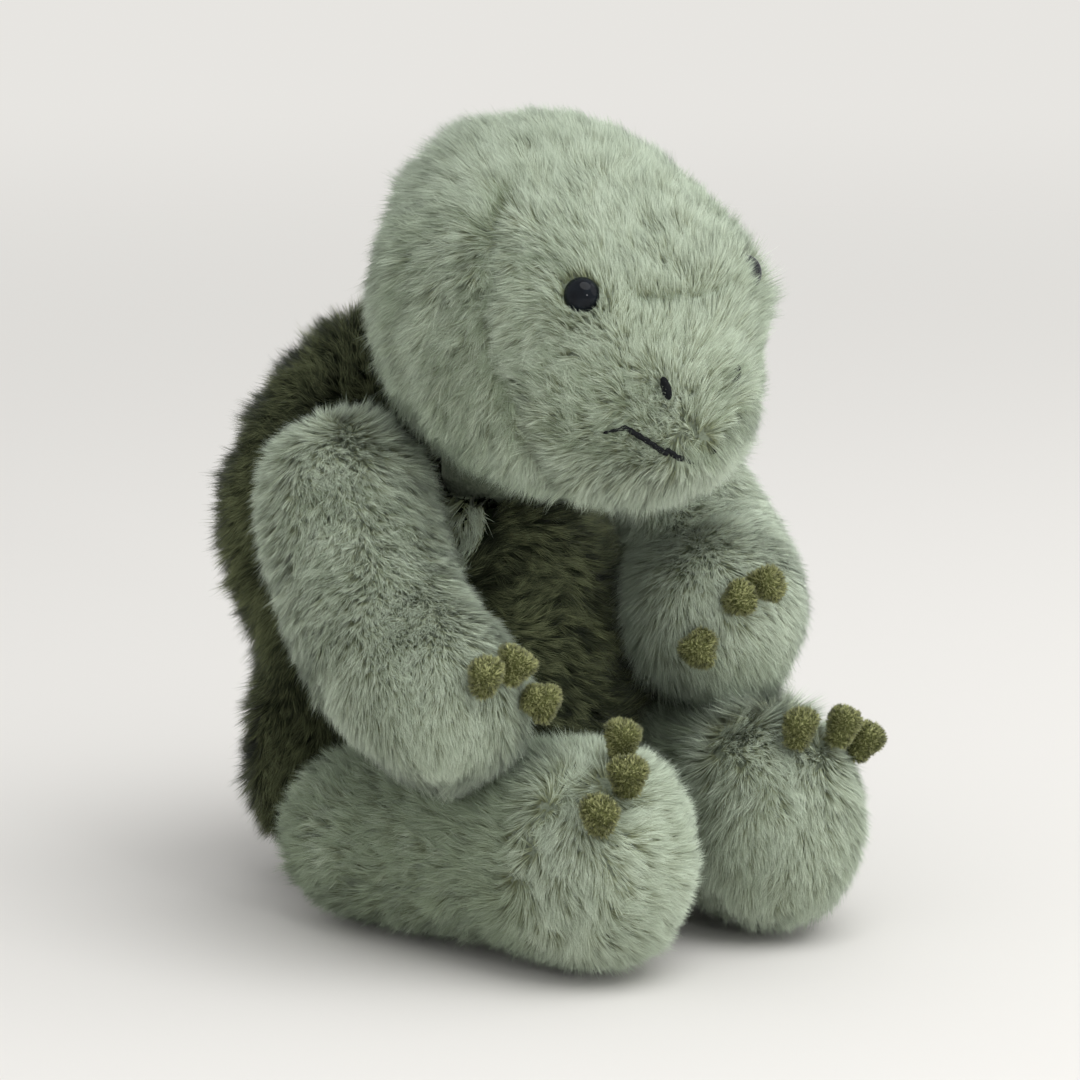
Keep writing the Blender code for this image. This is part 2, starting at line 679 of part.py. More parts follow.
def build_head(form, cage, neck_joint, materials):
    """The head's cover and filling, its eyes and washers, and its stitches."""
    cover, filling = hollowed(form, cage)
    cover = cut(cover, neck_room())
    filling = cut(filling, neck_room())
    for name, seat, way in eye_places(form):
        cover = cut(cover, *eye_socket(seat, way))
        back = washer_front(seat, way)
        deep = back - way * (EYE_SHANK_LENGTH - COVER_DEPTH)
        filling = cut(filling, rod(deep, back + way * CUT_OVERRUN, EYE_WASHER_RADIUS + GAP))
        build_eye(name, seat, way, neck_joint, materials)
    for side, name in ((-1, "right"), (1, "left")):
        cover = cut(cover, nostril_mesh(form, side, GAP))
        stitch = add_object(name + "_nostril_stitch", nostril_mesh(form, side), neck_joint, NECK_CENTRE)
        finish(stitch, materials["thread"])
    cover = cut(cover, mouth_mesh(form, GAP))
    finish(add_object("mouth_stitch", mouth_mesh(form), neck_joint, NECK_CENTRE), materials["thread"])
    finish(add_object("head_cover", cover, neck_joint, NECK_CENTRE), materials["sage"])
    finish(add_object("head_filling", filling, neck_joint, NECK_CENTRE), materials["fibre"])


def build_trunk(room, limbs, materials):
    """The trunk's cover, the belly panel set into its front, and the filling."""
    form, cage = trunk_form(1), trunk_form(0)
    cover, filling = hollowed(form, cage)
    neighbours = [neck_room(), room, floor_block(), *limbs]
    cover = cut(cover, *[mesh.copy() for mesh in neighbours])
    filling = cut(filling, *[mesh.copy() for mesh in neighbours])
    panel = boolean(cover.copy(), belly_column(0.0), "INTERSECT")
    cover = cut(cover, belly_column(GAP))
    finish(add_object("trunk_cover", cover), materials["sage"])
    finish(add_object("belly_panel", panel), materials["green"])
    finish(add_object("trunk_filling", filling), materials["fibre"])
    return form


def build_shell(trunk, room, limbs, materials):
    """The shell's cover, open toward the back that it is sewn to, and its padding."""
    form, cage = shell_form(1), shell_form(0)
    cover, padding = hollowed(form, cage)
    neighbours = [grown(trunk, GAP), room, *limbs]
    opening = rod(
        Vector((0.0, TRUNK_CENTRE_DEPTH, BELLY_CENTRE_HEIGHT)),
        Vector((0.0, SHELL_RIM_DEPTH, BELLY_CENTRE_HEIGHT)),
        TRUNK_BACK / 2,
    )
    cover = cut(cover, *[mesh.copy() for mesh in neighbours], opening)
    padding = cut(padding, *[mesh.copy() for mesh in neighbours])
    finish(add_object("shell_cover", cover), materials["green"])
    finish(add_object("shell_padding", padding), materials["fibre"])


def build_limb(name, form, inside, filling, opening, others, parent, origin, materials):
    """An arm or a leg: its cover, open where it is sewn on, and its filling."""
    cover = cut(form, inside, *[mesh.copy() for mesh in others], opening)
    filling = cut(filling, *[mesh.copy() for mesh in others])
    finish(add_object(name + "_cover", cover, parent, origin), materials["sage"])
    finish(add_object(name + "_filling", filling, parent, origin), materials["fibre"])


def build_arm(name, side, elbow, hand, shares, form, others, materials):
    """One arm with its claws. Its empty stands at the middle of the shoulder."""
    shoulder = shoulder_place(side)
    joint = add_joint_empty(name + "_shoulder_joint", shoulder)
    inward = Vector((-side * SHOULDER_SPREAD, 0.0, 0.0))
    opening = rod(shoulder, shoulder + inward, SHOULDER_OPENING_RADIUS)
    inside = arm_form(side, elbow, hand, 0, COVER_DEPTH)
    filling = arm_form(side, elbow, hand, 0, COVER_DEPTH + GAP)
    pieces = (form.copy(), inside, filling, opening, others)
    build_limb(name + "_arm", *pieces, joint, shoulder, materials)
    names = [f"{name}_hand_claw_{n}" for n in (1, 2, 3)]
    sizes = (HAND_CLAW_LENGTH, HAND_CLAW_RADIUS)
    add_claws(names, form, hand, side, shares, *sizes, joint, shoulder, materials["olive"])


def build_leg(name, side, shares, form, materials):
    """One leg with its claws. Its empty stands at the middle of the hip."""
    hip = hip_place(side)
    joint = add_joint_empty(name + "_hip_joint", hip)
    inward = Vector((-side * HIP_SPREAD, 0.0, 0.0))
    opening = rod(hip, hip + inward, HIP_OPENING_RADIUS)
    inside = leg_form(side, 0, COVER_DEPTH)
    filling = leg_form(side, 0, COVER_DEPTH + GAP)
    pieces = (form.copy(), inside, filling, opening, [floor_block()])
    build_limb(name + "_leg", *pieces, joint, hip, materials)
    names = [f"{name}_foot_claw_{n}" for n in (1, 2, 3)]
    sizes = (FOOT_CLAW_LENGTH, FOOT_CLAW_RADIUS)
    add_claws(names, form, foot_place(side), side, shares, *sizes, joint, hip, materials["olive"])


def build():
    materials = {
        "sage": make_material("sage_fur", SAGE, FUR_ROUGHNESS),
        "green": make_material("dark_green_fur", DARK_GREEN, FUR_ROUGHNESS),
        "olive": make_material("olive_plush", OLIVE, FUR_ROUGHNESS),
        "black": make_material("black_button", BLACK, BUTTON_ROUGHNESS),
        "thread": make_material("black_thread", BLACK, THREAD_ROUGHNESS),
        "fibre": make_material("white_fibre", WHITE_FIBRE, FUR_ROUGHNESS),
        "clear": make_material("clear_plastic", CLEAR_GREY, WASHER_ROUGHNESS),
    }
    arms = {
        "right": (-1, RIGHT_ELBOW, RIGHT_HAND, RIGHT_HAND_CLAW_SHARES),
        "left": (1, LEFT_ELBOW, LEFT_HAND, LEFT_HAND_CLAW_SHARES),
    }
    legs = {"right": (-1, RIGHT_FOOT_CLAW_SHARES), "left": (1, LEFT_FOOT_CLAW_SHARES)}
    arm_forms = {name: arm_form(side, elbow, hand, 1) for name, (side, elbow, hand, _) in arms.items()}
    leg_rooms = {name: leg_form(side, 1, -LEG_ROLL_CLEARANCE) for name, (side, _) in legs.items()}
    limb_room = [grown(form, GAP) for form in arm_forms.values()] + list(leg_rooms.values())
    limb_room += [ball(shoulder_place(side), SHOULDER_RADIUS + GAP) for side in (-1, 1)]

    head = head_form(1)
    room = head_room(head)
    neck_joint = add_joint_empty("neck_joint", NECK_CENTRE)
    build_head(head, head_form(0), neck_joint, materials)
    neck = add_object("neck", ball(NECK_CENTRE, NECK_RADIUS), neck_joint, NECK_CENTRE)
    finish(neck, materials["sage"])
    trunk = build_trunk(room, limb_room, materials)
    build_shell(trunk, room, limb_room, materials)
    for name, (side, elbow, hand, shares) in arms.items():
        others = [room, leg_rooms[name]]
        build_arm(name, side, elbow, hand, shares, arm_forms[name], others, materials)
    for name, (side, shares) in legs.items():
        build_leg(name, side, shares, leg_form(side, 1), materials)


clear_scene()
build()
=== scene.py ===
# %% [markdown]
# # A seated plush turtle
# The CAD part is the fixed frame: it says where every piece is and what it moves with.
# This file dresses it. A soft toy of this kind is sewn from fur fabric, so what the eye
# sees is not the sewn form but the pile that stands on it. So each form gets a stuffed
# skin, and each skin gets a real pile of small hairs.

# %% Load the frame
import math

import bpy
import numpy as np
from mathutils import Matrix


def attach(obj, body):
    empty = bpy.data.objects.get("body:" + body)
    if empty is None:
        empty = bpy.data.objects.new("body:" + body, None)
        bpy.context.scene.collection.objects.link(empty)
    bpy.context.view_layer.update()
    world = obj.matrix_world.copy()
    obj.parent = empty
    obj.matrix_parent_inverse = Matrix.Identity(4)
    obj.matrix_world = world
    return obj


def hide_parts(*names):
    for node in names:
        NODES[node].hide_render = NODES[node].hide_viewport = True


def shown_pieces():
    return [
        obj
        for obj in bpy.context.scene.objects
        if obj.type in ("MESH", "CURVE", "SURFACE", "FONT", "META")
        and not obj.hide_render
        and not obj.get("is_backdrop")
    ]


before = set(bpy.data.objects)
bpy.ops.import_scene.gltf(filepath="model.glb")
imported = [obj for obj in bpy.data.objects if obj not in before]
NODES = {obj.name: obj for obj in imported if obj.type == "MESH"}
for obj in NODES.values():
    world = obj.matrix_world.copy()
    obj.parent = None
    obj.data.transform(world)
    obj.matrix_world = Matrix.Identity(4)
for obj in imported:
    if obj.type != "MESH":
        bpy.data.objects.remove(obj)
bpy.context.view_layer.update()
scene = bpy.context.scene

# %% [markdown]
# ## Camera, floor and light
# A camera is placed by an azimuth, an elevation and a distance from a point inside the toy,
# which is easier to match to a photograph than three loose coordinates.
# The small shift only frames the picture.

# %% Camera
CAMERA_TARGET = np.array((0.0, 0.0, 0.15))
CAMERA_AZIMUTH, CAMERA_ELEVATION = math.radians(-40), math.radians(11.5)
CAMERA_DISTANCE = 2.0
LENS_MM, SENSOR_MM = 177.8, 36
SHIFT = (0.0556, -0.038)


def heading(azimuth, elevation):
    """Unit vector from the middle of the toy: azimuth 0 is its front, and it grows to its left side."""
    return np.array((math.sin(azimuth) * math.cos(elevation),
                     -math.cos(azimuth) * math.cos(elevation), math.sin(elevation)))


def place(thing, position, target):
    """Puts a camera or lamp at a position, looking at a target."""
    from mathutils import Vector
    thing.location = position
    thing.rotation_mode = "QUATERNION"
    thing.rotation_quaternion = Vector(np.subtract(target, position)).to_track_quat("-Z", "Y")
    scene.collection.objects.link(thing)


camera = bpy.data.objects.new("camera", bpy.data.cameras.new("camera"))
camera.data.lens, camera.data.sensor_width = LENS_MM, SENSOR_MM
camera.data.shift_x, camera.data.shift_y = SHIFT
place(camera, CAMERA_TARGET + CAMERA_DISTANCE * heading(CAMERA_AZIMUTH, CAMERA_ELEVATION), CAMERA_TARGET)
scene.camera = camera
scene.view_settings.view_transform = "Standard"
print("camera: azimuth", math.degrees(CAMERA_AZIMUTH), "elevation", math.degrees(CAMERA_ELEVATION))

# %% [markdown]
# The floor is one pale round sheet that fades out into the world's colour, so there is no
# horizon from any side, and the toy still throws its shadow on it.

# %% Floor and world
BACKDROP = (0.80, 0.785, 0.755, 1)
WHITE = (1, 1, 1, 1)
FLOOR_RADIUS, FLOOR_HEIGHT = 3.0, -0.0004
FADE_FROM, FADE_TO = 0.7, 2.4  # distances from the toy between which the floor turns see-through


def grid_faces(rows, columns):
    """Faces of a grid of rows by columns, as whole arrays; the last column is joined to the first."""
    r, c = np.meshgrid(np.arange(rows - 1), np.arange(columns), indexing="ij")
    n = (c + 1) % columns
    corners = (r * columns + c, r * columns + n, (r + 1) * columns + n, (r + 1) * columns + c)
    return np.stack(corners, -1).reshape(-1, 4)


def fill_mesh(name, points, faces):
    """A new mesh from an array of points and one or more arrays of faces, put in by foreach_set."""
    groups = faces if isinstance(faces, (list, tuple)) else [faces]
    corners = np.concatenate([g.ravel() for g in groups]).astype(np.int32)
    sizes = np.concatenate([np.full(len(g), g.shape[1]) for g in groups])
    mesh = bpy.data.meshes.new(name)
    mesh.vertices.add(len(points))
    mesh.vertices.foreach_set("co", np.ascontiguousarray(points, np.float32).ravel())
    mesh.loops.add(len(corners))
    mesh.loops.foreach_set("vertex_index", corners)
    mesh.polygons.add(len(sizes))
    mesh.polygons.foreach_set("loop_start", (np.cumsum(sizes) - sizes).astype(np.int32))
    mesh.update(calc_edges=True)
    return mesh


def add_piece(name, mesh, material=None):
    """An object at the origin that shows a mesh with smooth shading."""
    piece = bpy.data.objects.new(name, mesh)
    scene.collection.objects.link(piece)
    mesh.polygons.foreach_set("use_smooth", np.full(len(mesh.polygons), True))
    if material:
        mesh.materials.append(material)
    return piece


def floor_sheet(radius=FLOOR_RADIUS, rings=24, sides=96):
    """Rings on the ground. Their radius grows by the power 1.5 of even steps, and their points are at even
    angles."""
    r, a = np.meshgrid(np.linspace(0.001, 1, rings) ** 1.5 * radius,
                       np.arange(sides) * 2 * np.pi / sides, indexing="ij")
    points = np.stack((r * np.cos(a), r * np.sin(a), np.full_like(r, FLOOR_HEIGHT)), -1).reshape(-1, 3)
    return fill_mesh("floor", points, grid_faces(rings, sides))


class Nodes:
    """Short hands for building a node tree: add a node, set its values, link its sockets."""

    def __init__(self, tree):
        self.tree = tree

    def add(self, kind, values=None, **settings):
        """A node with its settings; a value is a socket to link or a number or colour to set."""
        node = self.tree.nodes.new(kind)
        for key, value in settings.items():
            setattr(node, key, value)
        for key, value in (values or {}).items():
            self.give(node.inputs[key], value)
        return node

    def give(self, socket, value):
        """Links a socket to an input, or sets the input to a number or colour."""
        if isinstance(value, bpy.types.NodeSocket):
            self.tree.links.new(value, socket)
        else:
            socket.default_value = value

    def maths(self, operation, *values):
        """One sum on one to three values."""
        return self.add("ShaderNodeMath", dict(enumerate(values)), operation=operation).outputs[0]

    def noise(self, where, scale, detail):
        """Soft random grey at a scale, in a number of finer layers."""
        values = {"Vector": where, "Scale": scale, "Detail": detail}
        return self.add("ShaderNodeTexNoise", values).outputs["Fac"]

    def ramp(self, value, *stops):
        """A colour for a value, between stops of (position, colour)."""
        node = self.add("ShaderNodeValToRGB", {"Fac": value})
        for element, (position, colour) in zip(node.color_ramp.elements, stops):
            element.position, element.color = position, colour
        return node.outputs[0]

    def blend(self, share, a, b):
        """Colour a where the share is 0, colour b where it is 1, and a mix between."""
        node = self.add("ShaderNodeMix", data_type="RGBA")
        for socket, value in zip((node.inputs[0], node.inputs[6], node.inputs[7]), (share, a, b)):
            self.give(socket, value)
        return node.outputs[2]

    def where(self):
        """The place on the object, in its own metres."""
        return self.add("ShaderNodeTexCoord").outputs["Object"]

    def surface(self, values):
        """A Principled surface with its values, put out by the material."""
        shader = self.add("ShaderNodeBsdfPrincipled", values)
        self.add("ShaderNodeOutputMaterial", {"Surface": shader.outputs[0]})


def new_material(name):
    """An empty node material with its output, and the tree's short hands."""
    material = bpy.data.materials.new(name)
    material.use_nodes = True
    material.node_tree.nodes.clear()
    return material, Nodes(material.node_tree)


def floor_material():
    """Pale matt paint that turns see-through with its distance from the toy."""
    material, n = new_material("pale_floor")
    far = n.add("ShaderNodeVectorMath", {0: n.where()}, operation="LENGTH").outputs["Value"]
    fade = n.add("ShaderNodeMapRange", {"Value": far, 1: FADE_FROM, 2: FADE_TO},
                 interpolation_type="SMOOTHSTEP").outputs[0]
    paint = n.add("ShaderNodeBsdfPrincipled", {"Base Color": BACKDROP, "Roughness": 0.9,
                                               "Specular IOR Level": 0.0})
    clear = n.add("ShaderNodeBsdfTransparent")
    both = n.add("ShaderNodeMixShader", {0: fade, 1: paint.outputs[0], 2: clear.outputs[0]})
    n.add("ShaderNodeOutputMaterial", {"Surface": both.outputs[0]})
    return material


floor = add_piece("floor", floor_sheet(), floor_material())
floor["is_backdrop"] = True

WORLD_LEVEL = 0.69  # how bright the room is for the toy; the camera sees the backdrop's own colour


def studio_world():
    """An even room light, and the backdrop's colour where the camera sees it, directly or through glass."""
    world = bpy.data.worlds.new("studio")
    world.use_nodes = True
    world.node_tree.nodes.clear()
    n = Nodes(world.node_tree)
    rays = n.add("ShaderNodeLightPath")
    seen = n.maths("MAXIMUM", rays.outputs["Is Camera Ray"], rays.outputs["Is Transmission Ray"])
    room = n.add("ShaderNodeBackground", {"Color": WHITE, "Strength": WORLD_LEVEL})
    wall = n.add("ShaderNodeBackground", {"Color": BACKDROP, "Strength": 1.0})
    both = n.add("ShaderNodeMixShader", {0: seen, 1: room.outputs[0], 2: wall.outputs[0]})
    n.add("ShaderNodeOutputWorld", {"Surface": both.outputs[0]})
    return world


scene.world = studio_world()
print("floor:", len(floor.data.polygons), "faces, room light", WORLD_LEVEL)

# %% [markdown]
# One large soft lamp stands high in front, as a studio's softbox does, a weaker one fills
# from the right, and a small one only lights up in the eyes. The world gives the rest.
# Together they are about as bright as a white room, so each colour renders about as it is
# written.

# %% Lamps
# name, azimuth, elevation, distance, diameter, power in watts
LAMPS = (("key_softbox", math.radians(0), math.radians(60), 2.2, 2.0, 24.5),
         ("side_fill", math.radians(48), math.radians(26), 1.7, 1.7, 6.5),
         ("eye_light", math.radians(-10), math.radians(12), 1.6, 0.16, 1.8))
for name, azimuth, elevation, distance, size, power in LAMPS:
    lamp = bpy.data.objects.new(name, bpy.data.lights.new(name, "AREA"))
    lamp.data.shape, lamp.data.size, lamp.data.energy = "DISK", size, power
    place(lamp, distance * heading(azimuth, elevation) + CAMERA_TARGET, CAMERA_TARGET)
print("stage: floor,", len(LAMPS), "lamps and the world")

# %% [markdown]
# ## Stuffed skins
# Each sewn form is a fabric skin round fibre. The CAD solids already have the form, so a
# skin starts as a copy of them, is remeshed to an even net, and is drawn in by about the
# height of the pile. A short cloth simulation under pressure then rounds it as stuffing
# does. Dents such as the brow crease are drawn in deeper than the rest.

# %% Measures of the forms
HEAD_CENTRE = np.array((0.0, -0.0485, 0.2303))
HEAD_REACH = 0.073
SHOULDER = {"right": np.array((-0.072, -0.008, 0.160)), "left": np.array((0.072, -0.008, 0.160))}
ELBOW = {"right": np.array((-0.085, -0.036, 0.110)), "left": np.array((0.090, -0.036, 0.108))}
HAND = {"right": np.array((-0.084, -0.078, 0.101)), "left": np.array((0.051, -0.078, 0.113))}
FOOT = {"right": np.array((-0.0425, -0.116, 0.0439)), "left": np.array((0.0425, -0.116, 0.0439))}
HIP = {"right": np.array((-0.062, -0.012, 0.0335)), "left": np.array((0.062, -0.012, 0.0335))}
BELLY = (0.047, 0.074, 0.094)  # half width, half height, height of its middle
SHELL_MIDDLE = np.array((0.0, 0.052, 0.125))
print("head:", HEAD_CENTRE, "reach", HEAD_REACH)


def frame_of(points):
    """Middle and three unit axes of a cloud of points, longest first, by singular values."""
    middle = points.mean(0)
    return middle, np.linalg.svd(points - middle, full_matrices=False)[2]


def unit(v):
    """Each row divided by its length."""
    return v / np.maximum(np.linalg.norm(v, axis=-1, keepdims=True), 1e-12)


def rise(value, low, high):
    """0 below low, 1 above high, and an easy S between them."""
    t = np.clip((value - low) / (high - low), 0, 1)
    return t * t * (3 - 2 * t)


def drift(points, size, seed):
    """Soft noise from about -1 to 1: the mean of eight sine waves of about one size, in seeded directions."""
    rng = np.random.default_rng(seed)
    waves = unit(rng.normal(size=(8, 3))) * (2 * np.pi / size) * rng.uniform(0.6, 1.5, (8, 1))
    return np.sin(points @ waves.T + rng.uniform(0, 6.28, 8)).mean(1) * 2.2


def positions(mesh):
    """The points of a mesh as an array."""
    co = np.empty(len(mesh.vertices) * 3, np.float32)
    mesh.vertices.foreach_get("co", co)
    return co.reshape(-1, 3).astype(float)


def corners_of(*names):
    """The corner points of CAD nodes, as one array."""
    return np.concatenate([positions(NODES[name].data) for name in names])


def nearest(points, others, chunk=1500):
    """Distance from each point to the nearest of the others, and which that is."""
    distance, which = np.empty(len(points)), np.empty(len(points), int)
    points, others = points.astype(np.float32), others.astype(np.float32)
    square = (others ** 2).sum(1)
    for i in range(0, len(points), chunk):
        part = points[i:i + chunk]
        d = square - 2 * part @ others.T
        j = d.argmin(1)
        which[i:i + chunk] = j
        distance[i:i + chunk] = np.linalg.norm(part - others[j], axis=1)
    return distance, which


def angles_round(centre, points):
    """Azimuth and elevation in degrees of points seen from a centre. Azimuth 0 is ahead, plus is the left
    side."""
    u = unit(points - centre)
    return np.degrees(np.arctan2(u[:, 0], -u[:, 1])), np.degrees(np.arcsin(np.clip(u[:, 2], -1, 1)))


# %% [markdown]
# A skin lies below its CAD form by about the height of the pile, so that the hair tips and
# not the cloth make the outline. By the eyes, the mouth and the nostrils the real fabric
# is held by the thread and its hair is short, so there the skin stays closer to the form.
# Each eye is kept as its dome's base point and the line of its shank.

# %% Depth of each skin below its CAD form
SAGE_DEPTH, SHELL_DEPTH = 0.0052, 0.0085
EYE_DOME = 0.0052  # height of the button's dome
EYES = {}
for side in ("right", "left"):
    corners = corners_of(f"{side}_eye")
    middle, axes = frame_of(corners)
    axis = axes[0] * np.sign((axes[0] * (middle - HEAD_CENTRE)).sum())
    EYES[side] = (middle + axis * (((corners - middle) @ axis).max() - EYE_DOME), axis)


def off_axis(points, line):
    """Distance of points from the line (a point and a direction), or 1 m where they lie behind the eye."""
    offset = points - line[0]
    run = offset @ line[1]
    return np.where(run > -0.03, np.linalg.norm(offset - run[:, None] * line[1], axis=1), 1.0)


MOUTH = corners_of("mouth_stitch")
NOSTRILS = corners_of("right_nostril_stitch", "left_nostril_stitch")
BROW_ELEVATION, BROW_HALF_WIDTH = 6.5, 17.0


def face_marks(points):
    """Distances in metres from points on the head to its eyes, mouth, nostrils, brow crease and face seam.
    The last one is below zero before the seam."""
    azimuth, elevation = angles_round(HEAD_CENTRE, points)
    eye = np.minimum(*(off_axis(points, EYES[s]) for s in EYES))
    beyond = np.maximum(np.abs(azimuth) - BROW_HALF_WIDTH, 0)
    brow = np.radians(np.hypot(beyond, elevation - BROW_ELEVATION - 0.004 * azimuth ** 2)) * HEAD_REACH
    seam_azimuth = 62 + np.where(elevation < 0, 0.35, 0.1) * elevation
    seam = np.radians(np.abs(azimuth) - seam_azimuth) * HEAD_REACH * np.cos(np.radians(elevation))
    seam = np.where(np.abs(elevation) < 48, seam, 1.0)
    return eye, nearest(points, MOUTH)[0], nearest(points, NOSTRILS)[0], brow, seam


def head_depth(points):
    """The sage depth, less beside the eyes, mouth and nostrils, and more in the brow crease and face seam."""
    eye, mouth, nostril, brow, seam = face_marks(points)
    depth = SAGE_DEPTH - 0.0022 * (1 - rise(eye, 0.007, 0.014))
    depth -= 0.0018 * (1 - rise(np.minimum(mouth, nostril), 0.002, 0.009))
    return depth + 0.0034 * np.exp(-(brow / 0.0032) ** 2) + 0.0034 * np.exp(-(seam / 0.0045) ** 2)


SKINS = {
    "head_skin": dict(body="head", nodes=("head_cover", "head_filling"), depth=head_depth, slot="sage_fur",
                      hides=("head_cover", "head_filling", "right_eye_washer", "left_eye_washer")),
    "trunk_skin": dict(body="trunk", nodes=("trunk_cover", "trunk_filling", "belly_panel"), depth=SAGE_DEPTH,
                       slot="sage_fur", hides=("trunk_cover", "trunk_filling")),
    "shell_skin": dict(body="trunk", nodes=("shell_cover", "shell_padding"), depth=SHELL_DEPTH,
                       slot="dark_green_fur", hides=("shell_cover", "shell_padding")),
}
for side in ("right", "left"):
    for limb in ("arm", "leg"):
        names = (f"{side}_{limb}_cover", f"{side}_{limb}_filling")
        SKINS[f"{side}_{limb}_skin"] = dict(body=f"{side}_{limb}", nodes=names, depth=SAGE_DEPTH,
                                            slot="sage_fur", hides=names)
print("skins:", ", ".join(SKINS))

# %% [markdown]
# The CAD's triangles are uneven, and a cloth needs an even net. So the cover and its
# filling are remeshed together, which also leaves out what is inside. The cloth is held
# within a few millimetres of where it starts, so it can't leave the frame.

# %% Make the skins
VOXEL, PUFF_CAP, PUFF_FRAMES = 0.0045, 0.003, 20
PRESSURE = 4


def point_normals(mesh):
    """The normals at the points of a mesh as an array."""
    n = np.empty(len(mesh.vertices) * 3, np.float32)
    mesh.vertex_normals.foreach_get("vector", n)
    return n.reshape(-1, 3).astype(float)


def triangles(mesh):
    """The triangles of a mesh as an array of three point numbers."""
    mesh.calc_loop_triangles()
    t = np.empty(len(mesh.loop_triangles) * 3, np.int32)
    mesh.loop_triangles.foreach_get("vertices", t)
    return t.reshape(-1, 3)


def finished_mesh(piece):
    """What a piece looks like with its modifiers, as a mesh of its own."""
    graph = bpy.context.evaluated_depsgraph_get()
    return bpy.data.meshes.new_from_object(piece.evaluated_get(graph))


def largest_part(points, faces):
    """Keeps the connected part with the most points: labels spread along faces until nothing changes."""
    label = np.arange(len(points))
    while True:
        low = label[faces].min(1)
        new = label.copy()
        np.minimum.at(new, faces.ravel(), np.repeat(low, faces.shape[1]))
        new = new[new]
        if (new == label).all():
            break
        label = new
    keep = label == np.bincount(label).argmax()
    number = np.cumsum(keep) - 1
    return points[keep], number[faces[keep[faces[:, 0]]]]


def even_net(name, nodes):
    """Copies CAD nodes into one mesh, remeshes it to even quads and keeps its outer part."""
    points, faces, start = [], [], 0
    for node in nodes:
        mesh = NODES[node].data
        points.append(positions(mesh))
        faces.append(triangles(mesh) + start)
        start += len(points[-1])
    whole = fill_mesh(name + "_rough", np.concatenate(points), np.concatenate(faces))
    rough = add_piece(name + "_rough", whole)
    net = rough.modifiers.new("Net", "REMESH")
    net.mode, net.voxel_size = "VOXEL", VOXEL
    mesh = finished_mesh(rough)
    bpy.data.objects.remove(rough)
    quads = np.empty(len(mesh.loops), np.int32)
    mesh.loops.foreach_get("vertex_index", quads)
    return largest_part(positions(mesh), quads.reshape(-1, 4))


def smooth_net(points, faces, rounds, share=0.5):
    """Moves each point a share of the way to the mean of its neighbours, a few times."""
    a, b = faces.ravel(), np.roll(faces, -1, 1).ravel()
    count = np.bincount(a, minlength=len(points)) + np.bincount(b, minlength=len(points))
    for _ in range(rounds):
        total = [np.bincount(a, points[b, k], len(points)) + np.bincount(b, points[a, k], len(points))
                 for k in range(3)]
        mean = np.stack(total, 1) / count[:, None]
        points = points + share * (mean - points)
    return points


def puff(piece):
    """Blows a skin up by cloth simulation, and moves each point as far as that but no farther than the cap.
    Returns the longest way in metres."""
    rest = positions(piece.data)
    cloth = piece.modifiers.new("Stuffing", "CLOTH")
    cloth.settings.use_pressure = True
    cloth.settings.uniform_pressure_force = PRESSURE
    cloth.settings.effector_weights.gravity = 0
    for number in range(1, PUFF_FRAMES + 1):
        scene.frame_set(number)
    moved = positions(finished_mesh(piece)) - rest
    piece.modifiers.remove(cloth)
    scene.frame_set(1)
    length = np.linalg.norm(moved, axis=1, keepdims=True)
    held = rest + moved * np.minimum(1, PUFF_CAP / np.maximum(length, 1e-9))
    piece.data.vertices.foreach_set("co", held.astype(np.float32).ravel())
    piece.data.update()
    return float(length.max())


def make_skin(name, nodes, depth):
    """Even net, smoothed, drawn in along its normals by its depth, puffed, and subdivided once."""
    points, faces = even_net(name, nodes)
    points = smooth_net(points, faces, 3)
    mesh = fill_mesh(name, points, faces)
    inward = depth(points) if callable(depth) else np.full(len(points), depth)
    drawn = smooth_net(points - point_normals(mesh) * inward[:, None], faces, 1, 0.3)
    mesh.vertices.foreach_set("co", drawn.astype(np.float32).ravel())
    mesh.update()
    piece = add_piece(name, mesh)
    moved = puff(piece)
    finer = piece.modifiers.new("Finer", "SUBSURF")
    finer.levels = finer.render_levels = 1
    piece.data = finished_mesh(piece)
    piece.modifiers.clear()
    piece.data.polygons.foreach_set("use_smooth", np.full(len(piece.data.polygons), True))
    print(name, len(piece.data.polygons), "faces, puffed", round(moved * 1000, 1), "mm")
    return piece


skins = {name: make_skin(name, s["nodes"], s["depth"]) for name, s in SKINS.items()}

# %% [markdown]
# ## Colour along a hair
# Fur fabric is darker and browner at the root and paler at the tip: partly its own colour,
# and partly painted shade that falls between the hairs. Each lock has its own tone. Every hair
# carries a small UV map: across it runs the tone, and along it the way from root to tip. So
# one small picture of colours dresses all the pile, and it stays right however the fur is
# moved. Between the green hairs stand browner ones, as in the photograph.

# %% Pile colours
COLOUR_SOCKETS = ("Dark Root", "Dark Tip", "Pale Root", "Pale Tip", "Brown")


